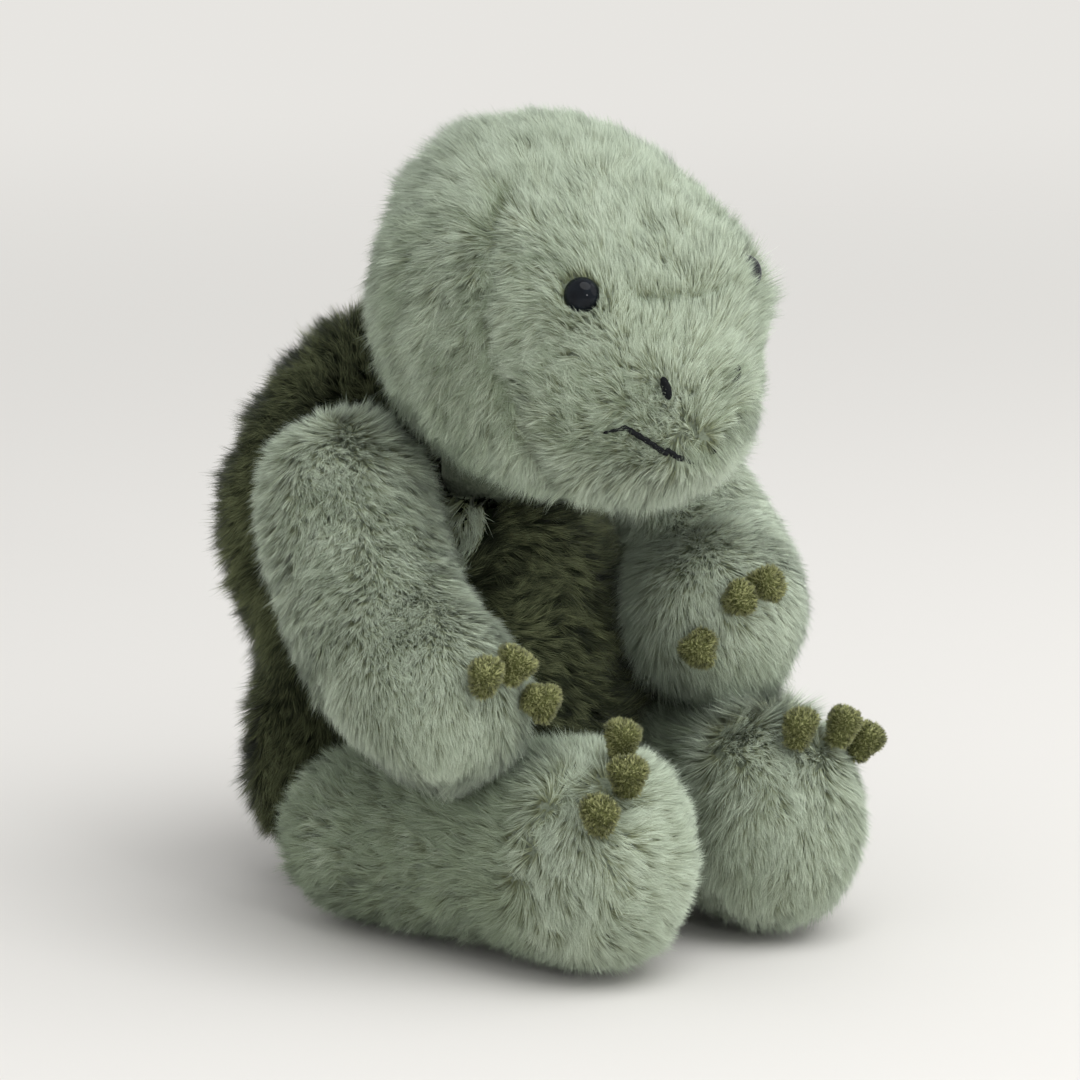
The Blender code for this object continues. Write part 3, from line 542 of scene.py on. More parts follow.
def pile_colour_group():
    """Mixes four colours by a UV map: root to tip along V, dark to pale lock along U, with browner hairs
    between."""
    tree = bpy.data.node_groups.new("pile_colour", "ShaderNodeTree")
    for name in COLOUR_SOCKETS:
        tree.interface.new_socket(name, in_out="INPUT", socket_type="NodeSocketColor")
    tree.interface.new_socket("Color", in_out="OUTPUT", socket_type="NodeSocketColor")
    tree.interface.new_socket("Along", in_out="OUTPUT", socket_type="NodeSocketFloat")
    n = Nodes(tree)
    given = n.add("NodeGroupInput").outputs
    uv = n.add("ShaderNodeUVMap", uv_map="OFBake").outputs[0]
    axes = n.add("ShaderNodeSeparateXYZ", {0: uv})
    along = n.add("ShaderNodeMapRange", {"Value": axes.outputs["Y"], 1: 0.10, 2: 0.90},
                  interpolation_type="SMOOTHSTEP").outputs[0]
    dark = n.blend(along, given["Dark Root"], given["Dark Tip"])
    pale = n.blend(along, given["Pale Root"], given["Pale Tip"])
    own = n.blend(axes.outputs["X"], dark, pale)
    hairs = n.add("ShaderNodeTexNoise", {"W": n.maths("MULTIPLY", axes.outputs["X"], 90.0), "Scale": 1.0,
                                         "Detail": 1.0}, noise_dimensions="1D").outputs["Fac"]
    browner = n.add("ShaderNodeMapRange", {"Value": hairs, 1: 0.52, 2: 0.72}).outputs[0]
    at_root = n.maths("SUBTRACT", 0.85, n.maths("MULTIPLY", along, 0.6))
    brown = n.maths("MULTIPLY", browner, at_root)
    final = n.blend(n.maths("MULTIPLY", brown, 0.55), own, given["Brown"])
    n.add("NodeGroupOutput", {"Color": final, "Along": along})
    return tree


pile_group = pile_colour_group()
# the root colours are darker partly as painted shade between the hairs
PILES = {  # dark root, dark tip, pale root, pale tip, brown hairs
    "sage_pile": ((0.11, 0.130, 0.060, 1), (0.36, 0.45, 0.305, 1), (0.30, 0.34, 0.19, 1),
                  (0.85, 0.97, 0.785, 1), (0.25, 0.215, 0.085, 1)),
    "dark_green_pile": ((0.002, 0.004, 0.001, 1), (0.008, 0.016, 0.005, 1), (0.010, 0.016, 0.005, 1),
                        (0.33, 0.37, 0.185, 1), (0.075, 0.065, 0.020, 1)),
    "olive_nap": ((0.022, 0.027, 0.006, 1), (0.13, 0.15, 0.045, 1), (0.10, 0.11, 0.030, 1),
                  (0.66, 0.68, 0.31, 1), (0.20, 0.16, 0.05, 1)),
}


def pile_material(name, colours):
    """A pile's finish: its colours by the group, a rough fibre and a little sheen at the rim. A hair that is
    seen from below is as bright as from above, because light passes through thin fibre."""
    material, n = new_material(name)
    material.cycles.use_bump_map_correction = False
    face = n.add("ShaderNodeNewGeometry")
    flip = n.maths("SUBTRACT", 1.0, n.maths("MULTIPLY", 2.0, face.outputs["Backfacing"]))
    upward = n.add("ShaderNodeVectorMath", {0: face.outputs["Normal"], "Scale": flip}, operation="SCALE")
    group = n.add("ShaderNodeGroup", node_tree=pile_group)
    for socket, colour in zip(COLOUR_SOCKETS, colours):
        group.inputs[socket].default_value = colour
    rough = n.maths("SUBTRACT", 0.95, n.maths("MULTIPLY", group.outputs["Along"], 0.35))
    n.surface({"Base Color": group.outputs["Color"], "Roughness": rough, "Specular IOR Level": 0.25,
               "Sheen Weight": 0.12, "Sheen Roughness": 0.45, "Sheen Tint": (0.90, 0.97, 1.0, 1),
               "Normal": upward.outputs[0]})
    return material


pile_materials = {name: pile_material(name, colours) for name, colours in PILES.items()}
print("pile finishes:", ", ".join(pile_materials))

# %% [markdown]
# Between the locks one looks down on the roots and on the knitted backing that they stand
# in. It is darker than the tips, because little light gets there. The belly is an oval of
# dark fabric that is let into the sage trunk, so the trunk's backing has both colours.

# %% Backing fabric under the pile
def backing_group():
    """The roots that show between locks: fine fibre streaks and soft patches, summed to one value."""
    tree = bpy.data.node_groups.new("pile_roots", "ShaderNodeTree")
    tree.interface.new_socket("Value", in_out="OUTPUT", socket_type="NodeSocketFloat")
    n = Nodes(tree)
    where = n.where()
    fine, soft = n.noise(where, 900.0, 3.0), n.noise(where, 120.0, 2.0)
    both = n.maths("ADD", n.maths("MULTIPLY", fine, 0.7), n.maths("MULTIPLY", soft, 0.3))
    n.add("NodeGroupOutput", {"Value": both})
    return tree


roots_group = backing_group()


def in_oval(n):
    """1 on the front of the trunk inside the belly's oval, where the squares of x over the half width and of
    the height above the middle over the half height add up to less than 1."""
    where = n.add("ShaderNodeSeparateXYZ", {0: n.where()})
    across = n.maths("DIVIDE", where.outputs["X"], BELLY[0])
    up = n.maths("DIVIDE", n.maths("SUBTRACT", where.outputs["Z"], BELLY[2]), BELLY[1])
    oval = n.maths("ADD", n.maths("MULTIPLY", across, across), n.maths("MULTIPLY", up, up))
    front = n.maths("LESS_THAN", where.outputs["Y"], -0.02)
    return n.maths("MULTIPLY", n.maths("LESS_THAN", oval, 1.0), front)


def backing_material(name, dark, pale, belly=None):
    """Knitted backing with pile roots. On the trunk the belly oval has its own two colours."""
    material, n = new_material(name)
    value = n.add("ShaderNodeGroup", node_tree=roots_group).outputs[0]
    colour = n.ramp(value, (0.35, dark), (0.65, pale))
    if belly:
        colour = n.blend(in_oval(n), colour, n.ramp(value, (0.35, belly[0]), (0.65, belly[1])))
    bump = n.add("ShaderNodeBump", {"Height": value, "Strength": 0.6, "Distance": 0.0008})
    n.surface({"Base Color": colour, "Roughness": 0.95, "Normal": bump.outputs[0],
               "Specular IOR Level": 0.1})
    return material


SAGE_ROOTS = ((0.13, 0.155, 0.11, 1), (0.26, 0.30, 0.22, 1))
GREEN_ROOTS = ((0.003, 0.005, 0.002, 1), (0.012, 0.020, 0.007, 1))
backings = {
    "sage": backing_material("sage_backing", *SAGE_ROOTS),
    "trunk": backing_material("trunk_backing", *SAGE_ROOTS, belly=GREEN_ROOTS),
    "green": backing_material("green_backing", *GREEN_ROOTS),
}
for name, piece in skins.items():
    kind = {"shell_skin": "green", "trunk_skin": "trunk"}.get(name, "sage")
    piece.data.materials.clear()
    piece.data.materials.append(backings[kind])
    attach(piece, SKINS[name]["body"])
    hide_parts(*SKINS[name]["hides"])
print("backed:", len(skins), "skins")

# %% [markdown]
# ## The pile
# Fur could be Blender's hair, but hair doesn't leave Blender with the model. So the pile is
# made as a mesh: locks of some ten hairs, and each hair one long thin triangle. A lock's
# hairs start spread out and lean together at the tip, which gives the partings that make
# fur look like fur. All of it is worked out as whole arrays.

# %% Spread and comb locks
def skin_net(piece):
    """Points, triangles and point normals of a skin."""
    return positions(piece.data), triangles(piece.data), point_normals(piece.data)


def spread_roots(net, per_square_mm, rng):
    """Roots spread over a net: even steps along the summed area, each a random place in its triangle."""
    points, tris, normals = net
    a, b, c = (points[tris[:, k]] for k in range(3))
    summed = np.cumsum(np.linalg.norm(np.cross(b - a, c - a), axis=1) / 2)
    count = int(summed[-1] * 1e6 * per_square_mm)
    which = np.searchsorted(summed, (np.arange(count) + rng.random(count)) / count * summed[-1])
    which = np.minimum(which, len(tris) - 1)
    u, v = rng.random(count), rng.random(count)
    over = u + v > 1
    u, v = np.where(over, 1 - u, u), np.where(over, 1 - v, v)
    share = np.stack((1 - u - v, u, v), 1)[:, :, None]
    return (points[tris[which]] * share).sum(1), unit((normals[tris[which]] * share).sum(1))


def along_skin(directions, normals):
    """Directions laid flat on the skin, as unit vectors."""
    return unit(directions - (directions * normals).sum(1, keepdims=True) * normals)


def comb(directions, roots, normals, rng, swirl=0.45, loose=0.20):
    """Lay of each lock: the given directions with a soft drift in them, turned a little at random. Where a
    direction is short, as near a parting, the drift wins and the pile looks ruffled."""
    ruffled = np.stack([drift(roots, 0.014, 40 + k) for k in range(3)], 1)
    flat = along_skin(directions + 0.32 * ruffled, normals)
    turn = swirl * drift(roots, 0.035, 11) + 0.5 * swirl * drift(roots, 0.010, 12)
    turn = turn + rng.normal(0, loose, len(roots))
    across = np.cross(normals, flat)
    return flat * np.cos(turn)[:, None] + across * np.sin(turn)[:, None]


# %% [markdown]
# Seen closely, a lock is a bundle of fibres of uneven length that part from each other a
# little. A triangle is enough for a hair, because it is thinner than a pixel, and so nearly
# two million can stand on the toy. Each hair's shading normal leans outward with its
# place in the lock, so a lock is shaded as a round tuft and not as flat blades.

# %% Grow hairs on the locks
ROOT_SUNK, LOWEST = 0.0006, 0.0003  # how deep hairs start in the skin, and how low one may reach
HAIR_WIDE, HAIR_ALONG = np.array((0.035, 0, 0.018)), np.array((0.02, 0.02, 0.98))  # UVs of root, root and tip


def grow(name, locks, strands, width, spread, gather, material, rng):
    """Hairs on locks. Each starts at root + offset. Its tip is a length from there, along the lay by the cosine
    of the lift and along the normal by its sine, less the offset times the gather. Its two root corners stand
    half the width to either side."""
    count = len(locks["root"])
    per = (count, strands)
    normal, lay = locks["normal"][:, None], locks["lay"][:, None]
    across = np.cross(normal, lay)
    angle, reach = rng.uniform(0, 2 * np.pi, per), np.sqrt(rng.random(per)) * spread
    offset = (np.cos(angle) * reach)[..., None] * lay + (np.sin(angle) * reach)[..., None] * across
    length = (locks["length"][:, None] * rng.uniform(0.70, 1.12, per))[..., None]
    turn = rng.normal(0, 0.13, per)[..., None]
    own = lay * np.cos(turn) + across * np.sin(turn)
    steep, flat = (locks[k][:, None] + rng.normal(0, 0.11, per) for k in ("steep", "flat"))
    lift = ((steep + flat) / 2)[..., None]
    root = locks["root"][:, None] + offset - normal * ROOT_SUNK
    rising = normal * locks["flatten"][:, None, None]
    tip = root + length * (own * np.cos(lift) + rising * np.sin(lift)) - offset * gather
    roll = rng.uniform(-1.0, 1.0, per)[..., None]
    thin = (width * locks["thick"][:, None] * rng.uniform(0.7, 1.25, per))[..., None]
    upright = normal * np.cos(lift) - own * np.sin(lift)
    side = thin / 2 * (across * np.cos(roll) + upright * np.sin(roll))
    points = np.stack((root - side, root + side, tip), 2).reshape(-1, 3)
    points[:, 2] = np.maximum(points[:, 2], LOWEST)
    total = count * strands
    mesh = fill_mesh(name, points, np.arange(total)[:, None] * 3 + np.array([[1, 0, 2]]))
    uneven = locks.get("uneven", np.ones(count))[:, None]
    tone = np.clip(locks["tone"][:, None] + uneven * rng.normal(0, 0.14, per), 0.03, 0.94).reshape(-1)
    uv = np.stack((tone[:, None] + HAIR_WIDE, np.broadcast_to(HAIR_ALONG, (total, 3))), -1)
    mesh.uv_layers.new(name="OFBake").data.foreach_set("uv", uv.astype(np.float32).ravel())
    lean = offset / spread * 0.45 + rng.normal(0, 0.10, per + (3,))
    if "tilt" in locks:
        lean = lean + locks["tilt"][:, None]
    soft = unit(normal + lean + own * 0.15)
    give = np.repeat(soft.reshape(-1, 3), 3, 0).astype(np.float32)
    mesh.attributes.new("custom_normal", "FLOAT_VECTOR", "POINT").data.foreach_set("vector", give.ravel())
    print(name, total, "hairs")
    return add_piece(name, mesh, pile_materials[material])


def add_pile(name, locks, body, strands, width, spread, gather, material, rng):
    """Grows a pile and hangs it on its body, in the slot of its material."""
    piece = grow(name, locks, strands, width, spread, gather, material, rng)
    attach(piece, body)
    return piece


# %% [markdown]
# ### Which way each form is combed
# The nap of a fur fabric runs one way on each cut panel, and hands and washing turn it
# further. In the photograph it spreads from the mouth up the face and over the forehead,
# runs back on the cheeks to the face seam, and falls behind it. Each limb has a short
# parting: close by, the hair crosses it in one direction, and farther off it leads away
# from it. Down an arm it falls to the hand. On the belly it lies across.

# %% Directions
def mixed(a, b, share):
    """Directions a where the share is 0, b where it is 1, and their mix between."""
    share = share[:, None]
    return a * (1 - share) + b * share


def head_lay(points, normals):
    """On the face away from the middle of the mouth, up and over the forehead; from the eyes back along the
    cheeks; behind the seam back and down; on the chin down and under; on the left half of the mouth down over
    the thread. Each direction takes over from the last one by a share from 0 to 1."""
    azimuth, elevation = angles_round(HEAD_CENTRE, points)
    seam = face_marks(points)[4]
    side, wide = np.sign(azimuth), np.abs(azimuth)
    x = (points - HEAD_CENTRE)[:, 0] / HEAD_REACH
    one, zero = np.ones_like(x), np.zeros_like(x)
    face = unit(points - (HEAD_CENTRE + HEAD_REACH * heading(0, math.radians(-34))))
    face[:, 0] += 0.25 * rise(elevation, 20, 45) * (1 - rise(wide, 30, 80))
    cheek = np.stack((side * 0.53, 0.71 * one, -0.36 * one), 1)
    high = np.stack((zero, one, -0.45 * one), 1)
    low = np.stack((zero, 0.45 * one, -one), 1)
    chin = np.stack((0.6 * x, 0.25 * one, -one), 1)
    lip = np.array((0, -0.2, -1.0))
    to_cheek = rise(wide, 36, 54) * (1 - rise(-elevation, 0, 14)) * (1 - rise(elevation, 24, 44))
    to_back = np.where(np.abs(elevation) < 48, rise(seam, -0.001, 0.003), rise(points[:, 1], -0.045, -0.020))
    to_high, to_chin = rise(elevation, 14, 36), rise(-elevation, 37, 47)
    to_lip = rise(azimuth, -9, -4) * (1 - rise(nearest(points, MOUTH)[0], 0.005, 0.012))
    lay = mixed(face, cheek, to_cheek)
    lay = mixed(lay, mixed(low, high, to_high), to_back)
    return mixed(mixed(lay, chin, to_chin), lip, to_lip)


# middle of each limb's parting, and half its length and direction
PARTINGS = {"right_arm": (SHOULDER["right"] + 0.034 * np.array((-0.28, -0.57, 0.77)), (0.002, -0.004, 0.0)),
            "left_arm": (SHOULDER["left"] + 0.034 * np.array((0.28, -0.57, 0.77)), (0.002, 0.004, 0.0)),
            "right_leg": (FOOT["right"] + 0.038 * np.array((-0.84, -0.43, 0.32)), (0.0, -0.003, 0.020)),
            "left_leg": (FOOT["left"] + 0.044 * np.array((-0.30, -0.25, 0.90)), (0.016, -0.008, 0.0))}


def from_parting(points, body):
    """From the nearest point of a limb's parting to each point, with the share along it held between its
    ends."""
    middle, half = (np.array(v) for v in PARTINGS[body])
    share = np.clip(((points - middle) @ half) / (half @ half), -1, 1)
    return points - middle - share[:, None] * half


def limb_lay(body, claw_line):
    """Away from the limb's parting, but in one direction over it close by, and just round the claws away from
    them. Below the parting of an arm the hair falls along the arm, as far as its hand."""
    side, limb = body.split("_")
    fall = unit(ELBOW[side] - SHOULDER[side]) if limb == "arm" else np.zeros(3)
    over = 0.9 * unit(np.array((-0.2, -0.8, -0.6) if body == "left_leg" else (0.0, -0.3, -1.0)))

    def lay(points, normals):
        away = from_parting(points, body)
        reach = np.linalg.norm(away, axis=1)
        claws = np.linalg.norm(points - claw_line, axis=1)
        near = (0.8 * (1 - rise(claws, 0.006, 0.020)))[:, None]
        strength = (0.08 + 0.92 * rise(reach, 0.008, 0.042))[:, None]
        falls = (2.2 * rise(away @ fall, 0.000, 0.024))[:, None] * fall
        across = (1 - rise(reach, 0.000, 0.032))[:, None] * over
        return (unit(away) * strength + falls + across) * (1 - near) + unit(points - claw_line) * near
    return lay


def trunk_lay(points, normals):
    """Down and outward from the middle line."""
    return np.stack((points[:, 0] * 12, np.zeros(len(points)), -np.ones(len(points))), 1)


def belly_lay(points, normals):
    """Across the belly towards its left side, and a little down."""
    one = np.ones(len(points))
    return np.stack((one, 0 * one, -0.35 * one + 0.5 * drift(points, 0.05, 5)), 1)


def shell_lay(points, normals):
    """Outward from the middle of the shell and down; in the middle itself only down."""
    away = (points - SHELL_MIDDLE) * np.array((1.0, 0.15, 0.8))
    away = away / np.maximum(np.linalg.norm(away, axis=1, keepdims=True), 0.045)
    return away + np.array((0, 0, -0.60))


# %% [markdown]
# ### Room for the pile
# Where two forms press on each other, each pile has half the room. The distance from a
# lock's root to the nearest neighbouring skin says how high it may stand, and a lock that
# would start inside a neighbour isn't grown.

# %% Locks with their lengths, tones and room
nets = {name: skin_net(piece) for name, piece in skins.items()}
CLAWS = {part: corners_of(*[f"{part}_claw_{k}" for k in (1, 2, 3)])
         for part in ("right_hand", "left_hand", "right_foot", "left_foot")}
LEAST_ROOM = 0.0012  # a lock needs this much room above it, or before a claw, to be grown
EVEN_TONE = 0.58  # the middle of the tones that dress gives; a pile may spread them about another
FILL = 0.48  # share of its room that a flattened lock fills


def room_above(roots, own, far=0.03):
    """Signed distance from roots to the nearest point of any other skin: below zero is inside it. Only roots
    and points within reach of each other's boxes are compared, and the rest have 1 m."""
    room = np.full(len(roots), 1.0)
    for name, (points, _, normals) in nets.items():
        if name == own:
            continue
        close = ((points > roots.min(0) - far) & (points < roots.max(0) + far)).all(1)
        near = np.flatnonzero(((roots > points.min(0) - far) & (roots < points.max(0) + far)).all(1))
        others, outs = points[close][::3], normals[close][::3]
        if not len(near) or not len(others):
            continue
        distance, which = nearest(roots[near], others)
        inside = (((roots[near] - others[which]) * outs[which]).sum(1) < 0) & (distance < 0.006)
        room[near] = np.minimum(room[near], np.where(inside, -distance, distance))
    return room


def dress(skin, lay, hairs_per_mm2, strands, length, lifts, rng, thick=1.0, swirl=0.45):
    """Locks for one skin, one for each bundle of strands: roots and normals where there is room, the combed
    lay, and length, lifts (steep near the root, flat near the tip) and tone, each made a little uneven."""
    roots, normals = spread_roots(nets[skin], hairs_per_mm2 / strands, rng)
    room = room_above(roots, skin)
    keep = room > LEAST_ROOM
    roots, normals, room = roots[keep], normals[keep], room[keep]
    lay_flat = comb(lay(roots, normals), roots, normals, rng, swirl)
    patch = 0.30 * drift(roots, 0.030, 21) + 0.22 * drift(roots, 0.009, 22)
    layers = 1 + 0.10 * drift(roots, 0.02, 23) + 0.13 * drift(roots, 0.006, 25)
    return dict(root=roots, normal=normals, lay=lay_flat, room=room,
                length=length * (layers + rng.normal(0, 0.07, len(roots))),
                steep=np.full(len(roots), lifts[0]) + rng.normal(0, 0.10, len(roots)),
                flat=np.full(len(roots), lifts[1]) + 0.28 * drift(roots, 0.025, 24),
                thick=np.full(len(roots), thick),
                tone=EVEN_TONE + patch * 0.45 + rng.normal(0, 0.19, len(roots)))


def ruffle(locks, share, seed):
    """Pushes tufts of a few millimetres up, down and aside by a share from 0 to 1, with uneven tones that are
    a little darker as painted shade between the tufts, and tilted shading normals."""
    sizes = (0.0036, 0.0044, 0.0029)
    aside, lift, tone = (drift(locks["root"], size, seed + k) for k, size in enumerate(sizes))
    turn = 0.60 * share * aside
    across = np.cross(locks["normal"], locks["lay"])
    locks["lay"] = locks["lay"] * np.cos(turn)[:, None] + across * np.sin(turn)[:, None]
    locks["flat"] = locks["flat"] + 0.30 * share * lift
    locks["length"] = locks["length"] * (1 + 0.12 * share * lift)
    # painted shade between ruffled tufts: uneven tones, a little darker overall
    locks["tone"] = locks["tone"] + share * (0.20 * tone - 0.06)
    bumps = np.stack([drift(locks["root"], 0.0038, seed + 5 + k) for k in range(3)], 1)
    locks["tilt"] = (0.10 + 0.50 * share[:, None]) * bumps


def settle(locks):
    """Locks beside a neighbour grow longer, to fill the gap, and those below one are flattened to the height
    that they have room for, and painted a little darker as the shade under the neighbour."""
    room = locks["room"]
    locks["length"] *= 1 + 0.35 * rise(room, 0.010, 0.013) * (1 - rise(room, 0.018, 0.026))
    height = locks["length"] * (0.5 * np.sin(locks["steep"]) + 0.5 * np.sin(np.maximum(locks["flat"], 0)))
    locks["flatten"] = np.clip(locks.get("fill", FILL) * room / np.maximum(height, 1e-5), 0.12, 1)
    # painted shade under a neighbour: the flatter a lock is pressed, the darker
    locks["tone"] = locks["tone"] - 0.12 * (1 - locks["flatten"])
    return locks


def part_of(locks, mask):
    """The locks that a mask picks."""
    return {key: value[mask] for key, value in locks.items()}


# %% [markdown]
# On the forehead and the bridge of the nose the head's pile lies smooth and is even in
# tone. It is ruffled behind the face seam, with painted shade low down there. It has
# painted light on the jaw and the underside, is short by the mouth and the nostrils, and
# has painted shade in the brow crease and the seam. Hairs that lean to an eye end before
# it, and the ones beside it are bent away, so that the eyes stay clear.

# %% Head pile
SAGE = "sage_pile"
SAGE_WIDTH, SAGE_STRANDS = 0.00027, 9
SAGE_TONE = 0.60  # the middle of the tones on head and limbs
EYE_REACH = 0.0050  # hairs that lean to an eye end about here
EYE_CLEAR = 0.0056  # nearer to an eye's line than this none is grown
rng = np.random.default_rng(101)
head = dress("head_skin", head_lay, 7.2, SAGE_STRANDS, 0.0094, (0.72, 0.34), rng, swirl=0.30)
eye, mouth, nostril, brow, seam = face_marks(head["root"])
azimuth, elevation = angles_round(HEAD_CENTRE, head["root"])
wide = np.abs(azimuth)
covered = rise(azimuth, -9, -4)  # past this the pile hides the thread
before, behind = np.exp(-((seam + 0.003) / 0.004) ** 2), rise(seam, -0.001, 0.002)
smooth = rise(elevation, -20, -5) * (1 - rise(wide, 26, 44))  # forehead and bridge
smooth = np.maximum(smooth, rise(elevation, 30, 48))  # and crown
jaw = rise(-elevation, 30, 36) * (1 - rise(-elevation, 46, 53)) * (1 - rise(wide, 55, 75))
under = rise(-elevation, 48, 56)
tuft = np.exp(-((azimuth - 40) / 14) ** 2 - ((elevation - 7) / 12) ** 2)  # one tuft stands up by the left eye
swept = unit(head["root"] - HEAD_CENTRE) @ unit(np.array((-0.38, 0.52, 0.76)))
swept = rise(swept, 0.90, 0.985)  # and the hair is brushed up at the right of the crown

# %% [markdown]
# Hair near thread is short, as if clipped. A hair that leans to an eye may be as long as
# its distance to the eye over the cosine of its lift, so that it just doesn't reach it.

# %% Lengths and lifts of the head pile
for mark, low, high, least in ((mouth, 0.0014, 0.006, 0.34 + 0.6 * covered),
                               (nostril, 0.0010, 0.005, 0.32 + 0.6 * rise(azimuth, -4, 4)),
                               (brow, 0.0, 0.005, 0.60)):
    head["length"] *= least + (1 - least) * rise(mark, low, high)
head["length"] *= 1 + 0.12 * jaw + 0.15 * behind + 0.15 * before - 0.50 * under + 0.50 * tuft + 0.20 * swept
right_side = (head["root"][:, 0] < 0)[:, None]
from_eye = unit(head["root"] - np.where(right_side, EYES["right"][0], EYES["left"][0]))
aim = -(head["lay"] * from_eye).sum(1)  # 1 where the hair points at the eye
ring = (1 - rise(eye, 0.012, 0.020)) * rise(aim, 0.0, 0.6)
head["steep"] += 0.20 * tuft + 0.30 * swept + 0.30 * ring + 0.15 * jaw
head["flat"] += 0.35 * tuft + 0.40 * swept + 0.45 * ring + 0.35 * jaw + 0.12 * before
span = np.cos(0.5 * (head["steep"] + head["flat"])) * np.maximum(aim, 0.05)
head["length"] = np.minimum(head["length"], np.maximum((eye - EYE_REACH) / span, 0.0024))
bend = (0.9 * (1 - rise(eye, 0.0060, 0.0085)))[:, None]
head["lay"] = along_skin(head["lay"] + bend * from_eye, head["normal"])

# %% [markdown]
# Light gets down between ruffled locks and not between smooth ones, so the ruffled parts
# are painted with the wider range of tones, and a little darker as painted shade. The pile
# is then grown in four pieces, to keep each small.

# %% Tones of the head pile, and its hairs
rough = 1 - smooth
# ruffled parts get the wider spread of tones and a little painted shade
head["tone"] = SAGE_TONE + (head["tone"] - EVEN_TONE) * (0.42 + 0.9 * rough) - 0.06 * rough + 0.01 * smooth
head["uneven"] = 0.5 + 0.9 * rough
ruffle(head, rough * (0.65 + 0.35 * behind) * (1 - 0.5 * under), 500)
# painted shade along the brow crease and the face seam
head["tone"] -= 0.40 * np.exp(-(brow / 0.0020) ** 2) + 0.56 * np.exp(-((seam - 0.002) / 0.0032) ** 2)
# painted light on the jaw and the underside, painted shade low behind the seam, and the band before the seam a
# little lighter
head["tone"] += 0.14 * before + 0.74 * jaw + 0.24 * under - 0.06 * behind * (1 - rise(elevation, 20, 40))
settle(head)
SECTORS = {"face_pile": wide <= 48, "right_head_pile": (azimuth < -48) & (azimuth >= -150),
           "left_head_pile": (azimuth > 48) & (azimuth <= 150), "nape_pile": wide > 150}
for name, mask in SECTORS.items():
    add_pile(name, part_of(head, mask & (eye > EYE_CLEAR)), "head", SAGE_STRANDS, SAGE_WIDTH, 0.00062, 0.8,
             SAGE, rng)

# %% [markdown]
# The arms and legs have the same fur. Handling has laid it smooth at the hands and the
# feet, and ruffled it above them. It is shorter by the claws, and the thighs lie in the
# shadow of the arms, with a dark line where the foot's panel is sewn on. The far limbs are
# squeezed between their neighbours, so their pile fills more of its room.

# %% Arm and leg piles
LIMBS = {"arm": dict(end=HAND, claws="hand", hairs=6.4, length=0.0092, near_end=-0.06, uneven=0.9, push=0.74),
         "leg": dict(end=FOOT, claws="foot", hairs=5.7, length=0.0096, near_end=0.05, uneven=1.3, push=0.94)}
# painted light: each arm is painted lighter, the left one most, where the head shades it; the legs get none
LIMB_PAINTED_LIGHT = {"right_arm": 0.14, "left_arm": 0.44, "right_leg": 0.0, "left_leg": 0.0}
for number, (side, limb) in enumerate((s, l) for s in ("right", "left") for l in LIMBS):
    body, kind = f"{side}_{limb}", LIMBS[limb]
    claws = CLAWS[f"{side}_{kind['claws']}"]
    rng = np.random.default_rng(204 + number)
    locks = dress(f"{body}_skin", limb_lay(body, claws.mean(0)), kind["hairs"], SAGE_STRANDS, kind["length"],
                  (0.74, 0.38), rng, 1.08)
    reach = nearest(locks["root"], claws)[0]
    from_middle = np.linalg.norm(from_parting(locks["root"], body), axis=1)
    smooth = 1 - rise(np.linalg.norm(locks["root"] - kind["end"][side], axis=1), 0.034, 0.050)
    rough = 1 - smooth
    locks["length"] *= 0.42 + 0.58 * rise(reach, 0.002, 0.008)
    locks["flat"] += 0.15 * (1 - rise(from_middle, 0.004, 0.016))
    locks["tone"] = SAGE_TONE + (locks["tone"] - EVEN_TONE) * (0.60 + 0.7 * rough) + kind["near_end"] * smooth
    # painted light along the parting, where the parted hairs show their shaded roots, and each limb's painted
    # light
    locks["tone"] += 0.08 * (1 - rise(from_middle, 0.003, 0.022)) + LIMB_PAINTED_LIGHT[body]
    if side == "left":
        room = locks["room"]
        locks["fill"] = FILL + 0.36 * (1 - rise(room, 0.012, 0.024))
        locks["length"] *= 1 + 0.4 * rise(room, 0.006, 0.010) * (1 - rise(room, 0.022, 0.030))
    locks["uneven"] = 0.7 + kind["uneven"] * rough
    calm = 0.5 if body == "left_arm" else 1.0
    ruffle(locks, calm * (0.16 + kind["push"] * rough), 600 + 20 * number)
    if limb == "leg":
        along = (locks["root"] - FOOT[side]) @ unit(HIP[side] - FOOT[side])
        locks["tone"] -= 0.74 * rise(along, 0.0, 0.028) + 0.18 * np.exp(-((along - 0.012) / 0.004) ** 2)
    add_pile(f"{body}_pile", part_of(settle(locks), reach > LEAST_ROOM), body, SAGE_STRANDS, SAGE_WIDTH,
             0.00066, 0.8, SAGE, rng)

# %% [markdown]
# The trunk's sage pile shows at the breast and the flanks only. The belly and the shell
# have a long dark pile with pale tips, and each of its locks stands apart, so their tones
# are spread wide. The back of the shell is a piece of its own, because of its size.

# %% Trunk, belly and shell piles
def in_belly(locks):
    """Which locks of the trunk stand on the dark belly oval."""
    x, z = locks["root"][:, 0] / BELLY[0], (locks["root"][:, 2] - BELLY[2]) / BELLY[1]
    notch = 0.35 * rise(-x, 0.3, 0.7) * rise(z, 0.35, 0.75)  # the breast fabric laps over the upper right
    return (x ** 2 + z ** 2 < 1 - notch) & (locks["normal"][:, 1] < 0.1)


def clear_of(roots, skin):
    """Which roots are outside a skin: on the side that the normal of its nearest point points to."""
    points, _, normals = nets[skin]
    which = nearest(roots, points)[1]
    return ((roots - points[which]) * normals[which]).sum(1) > 0


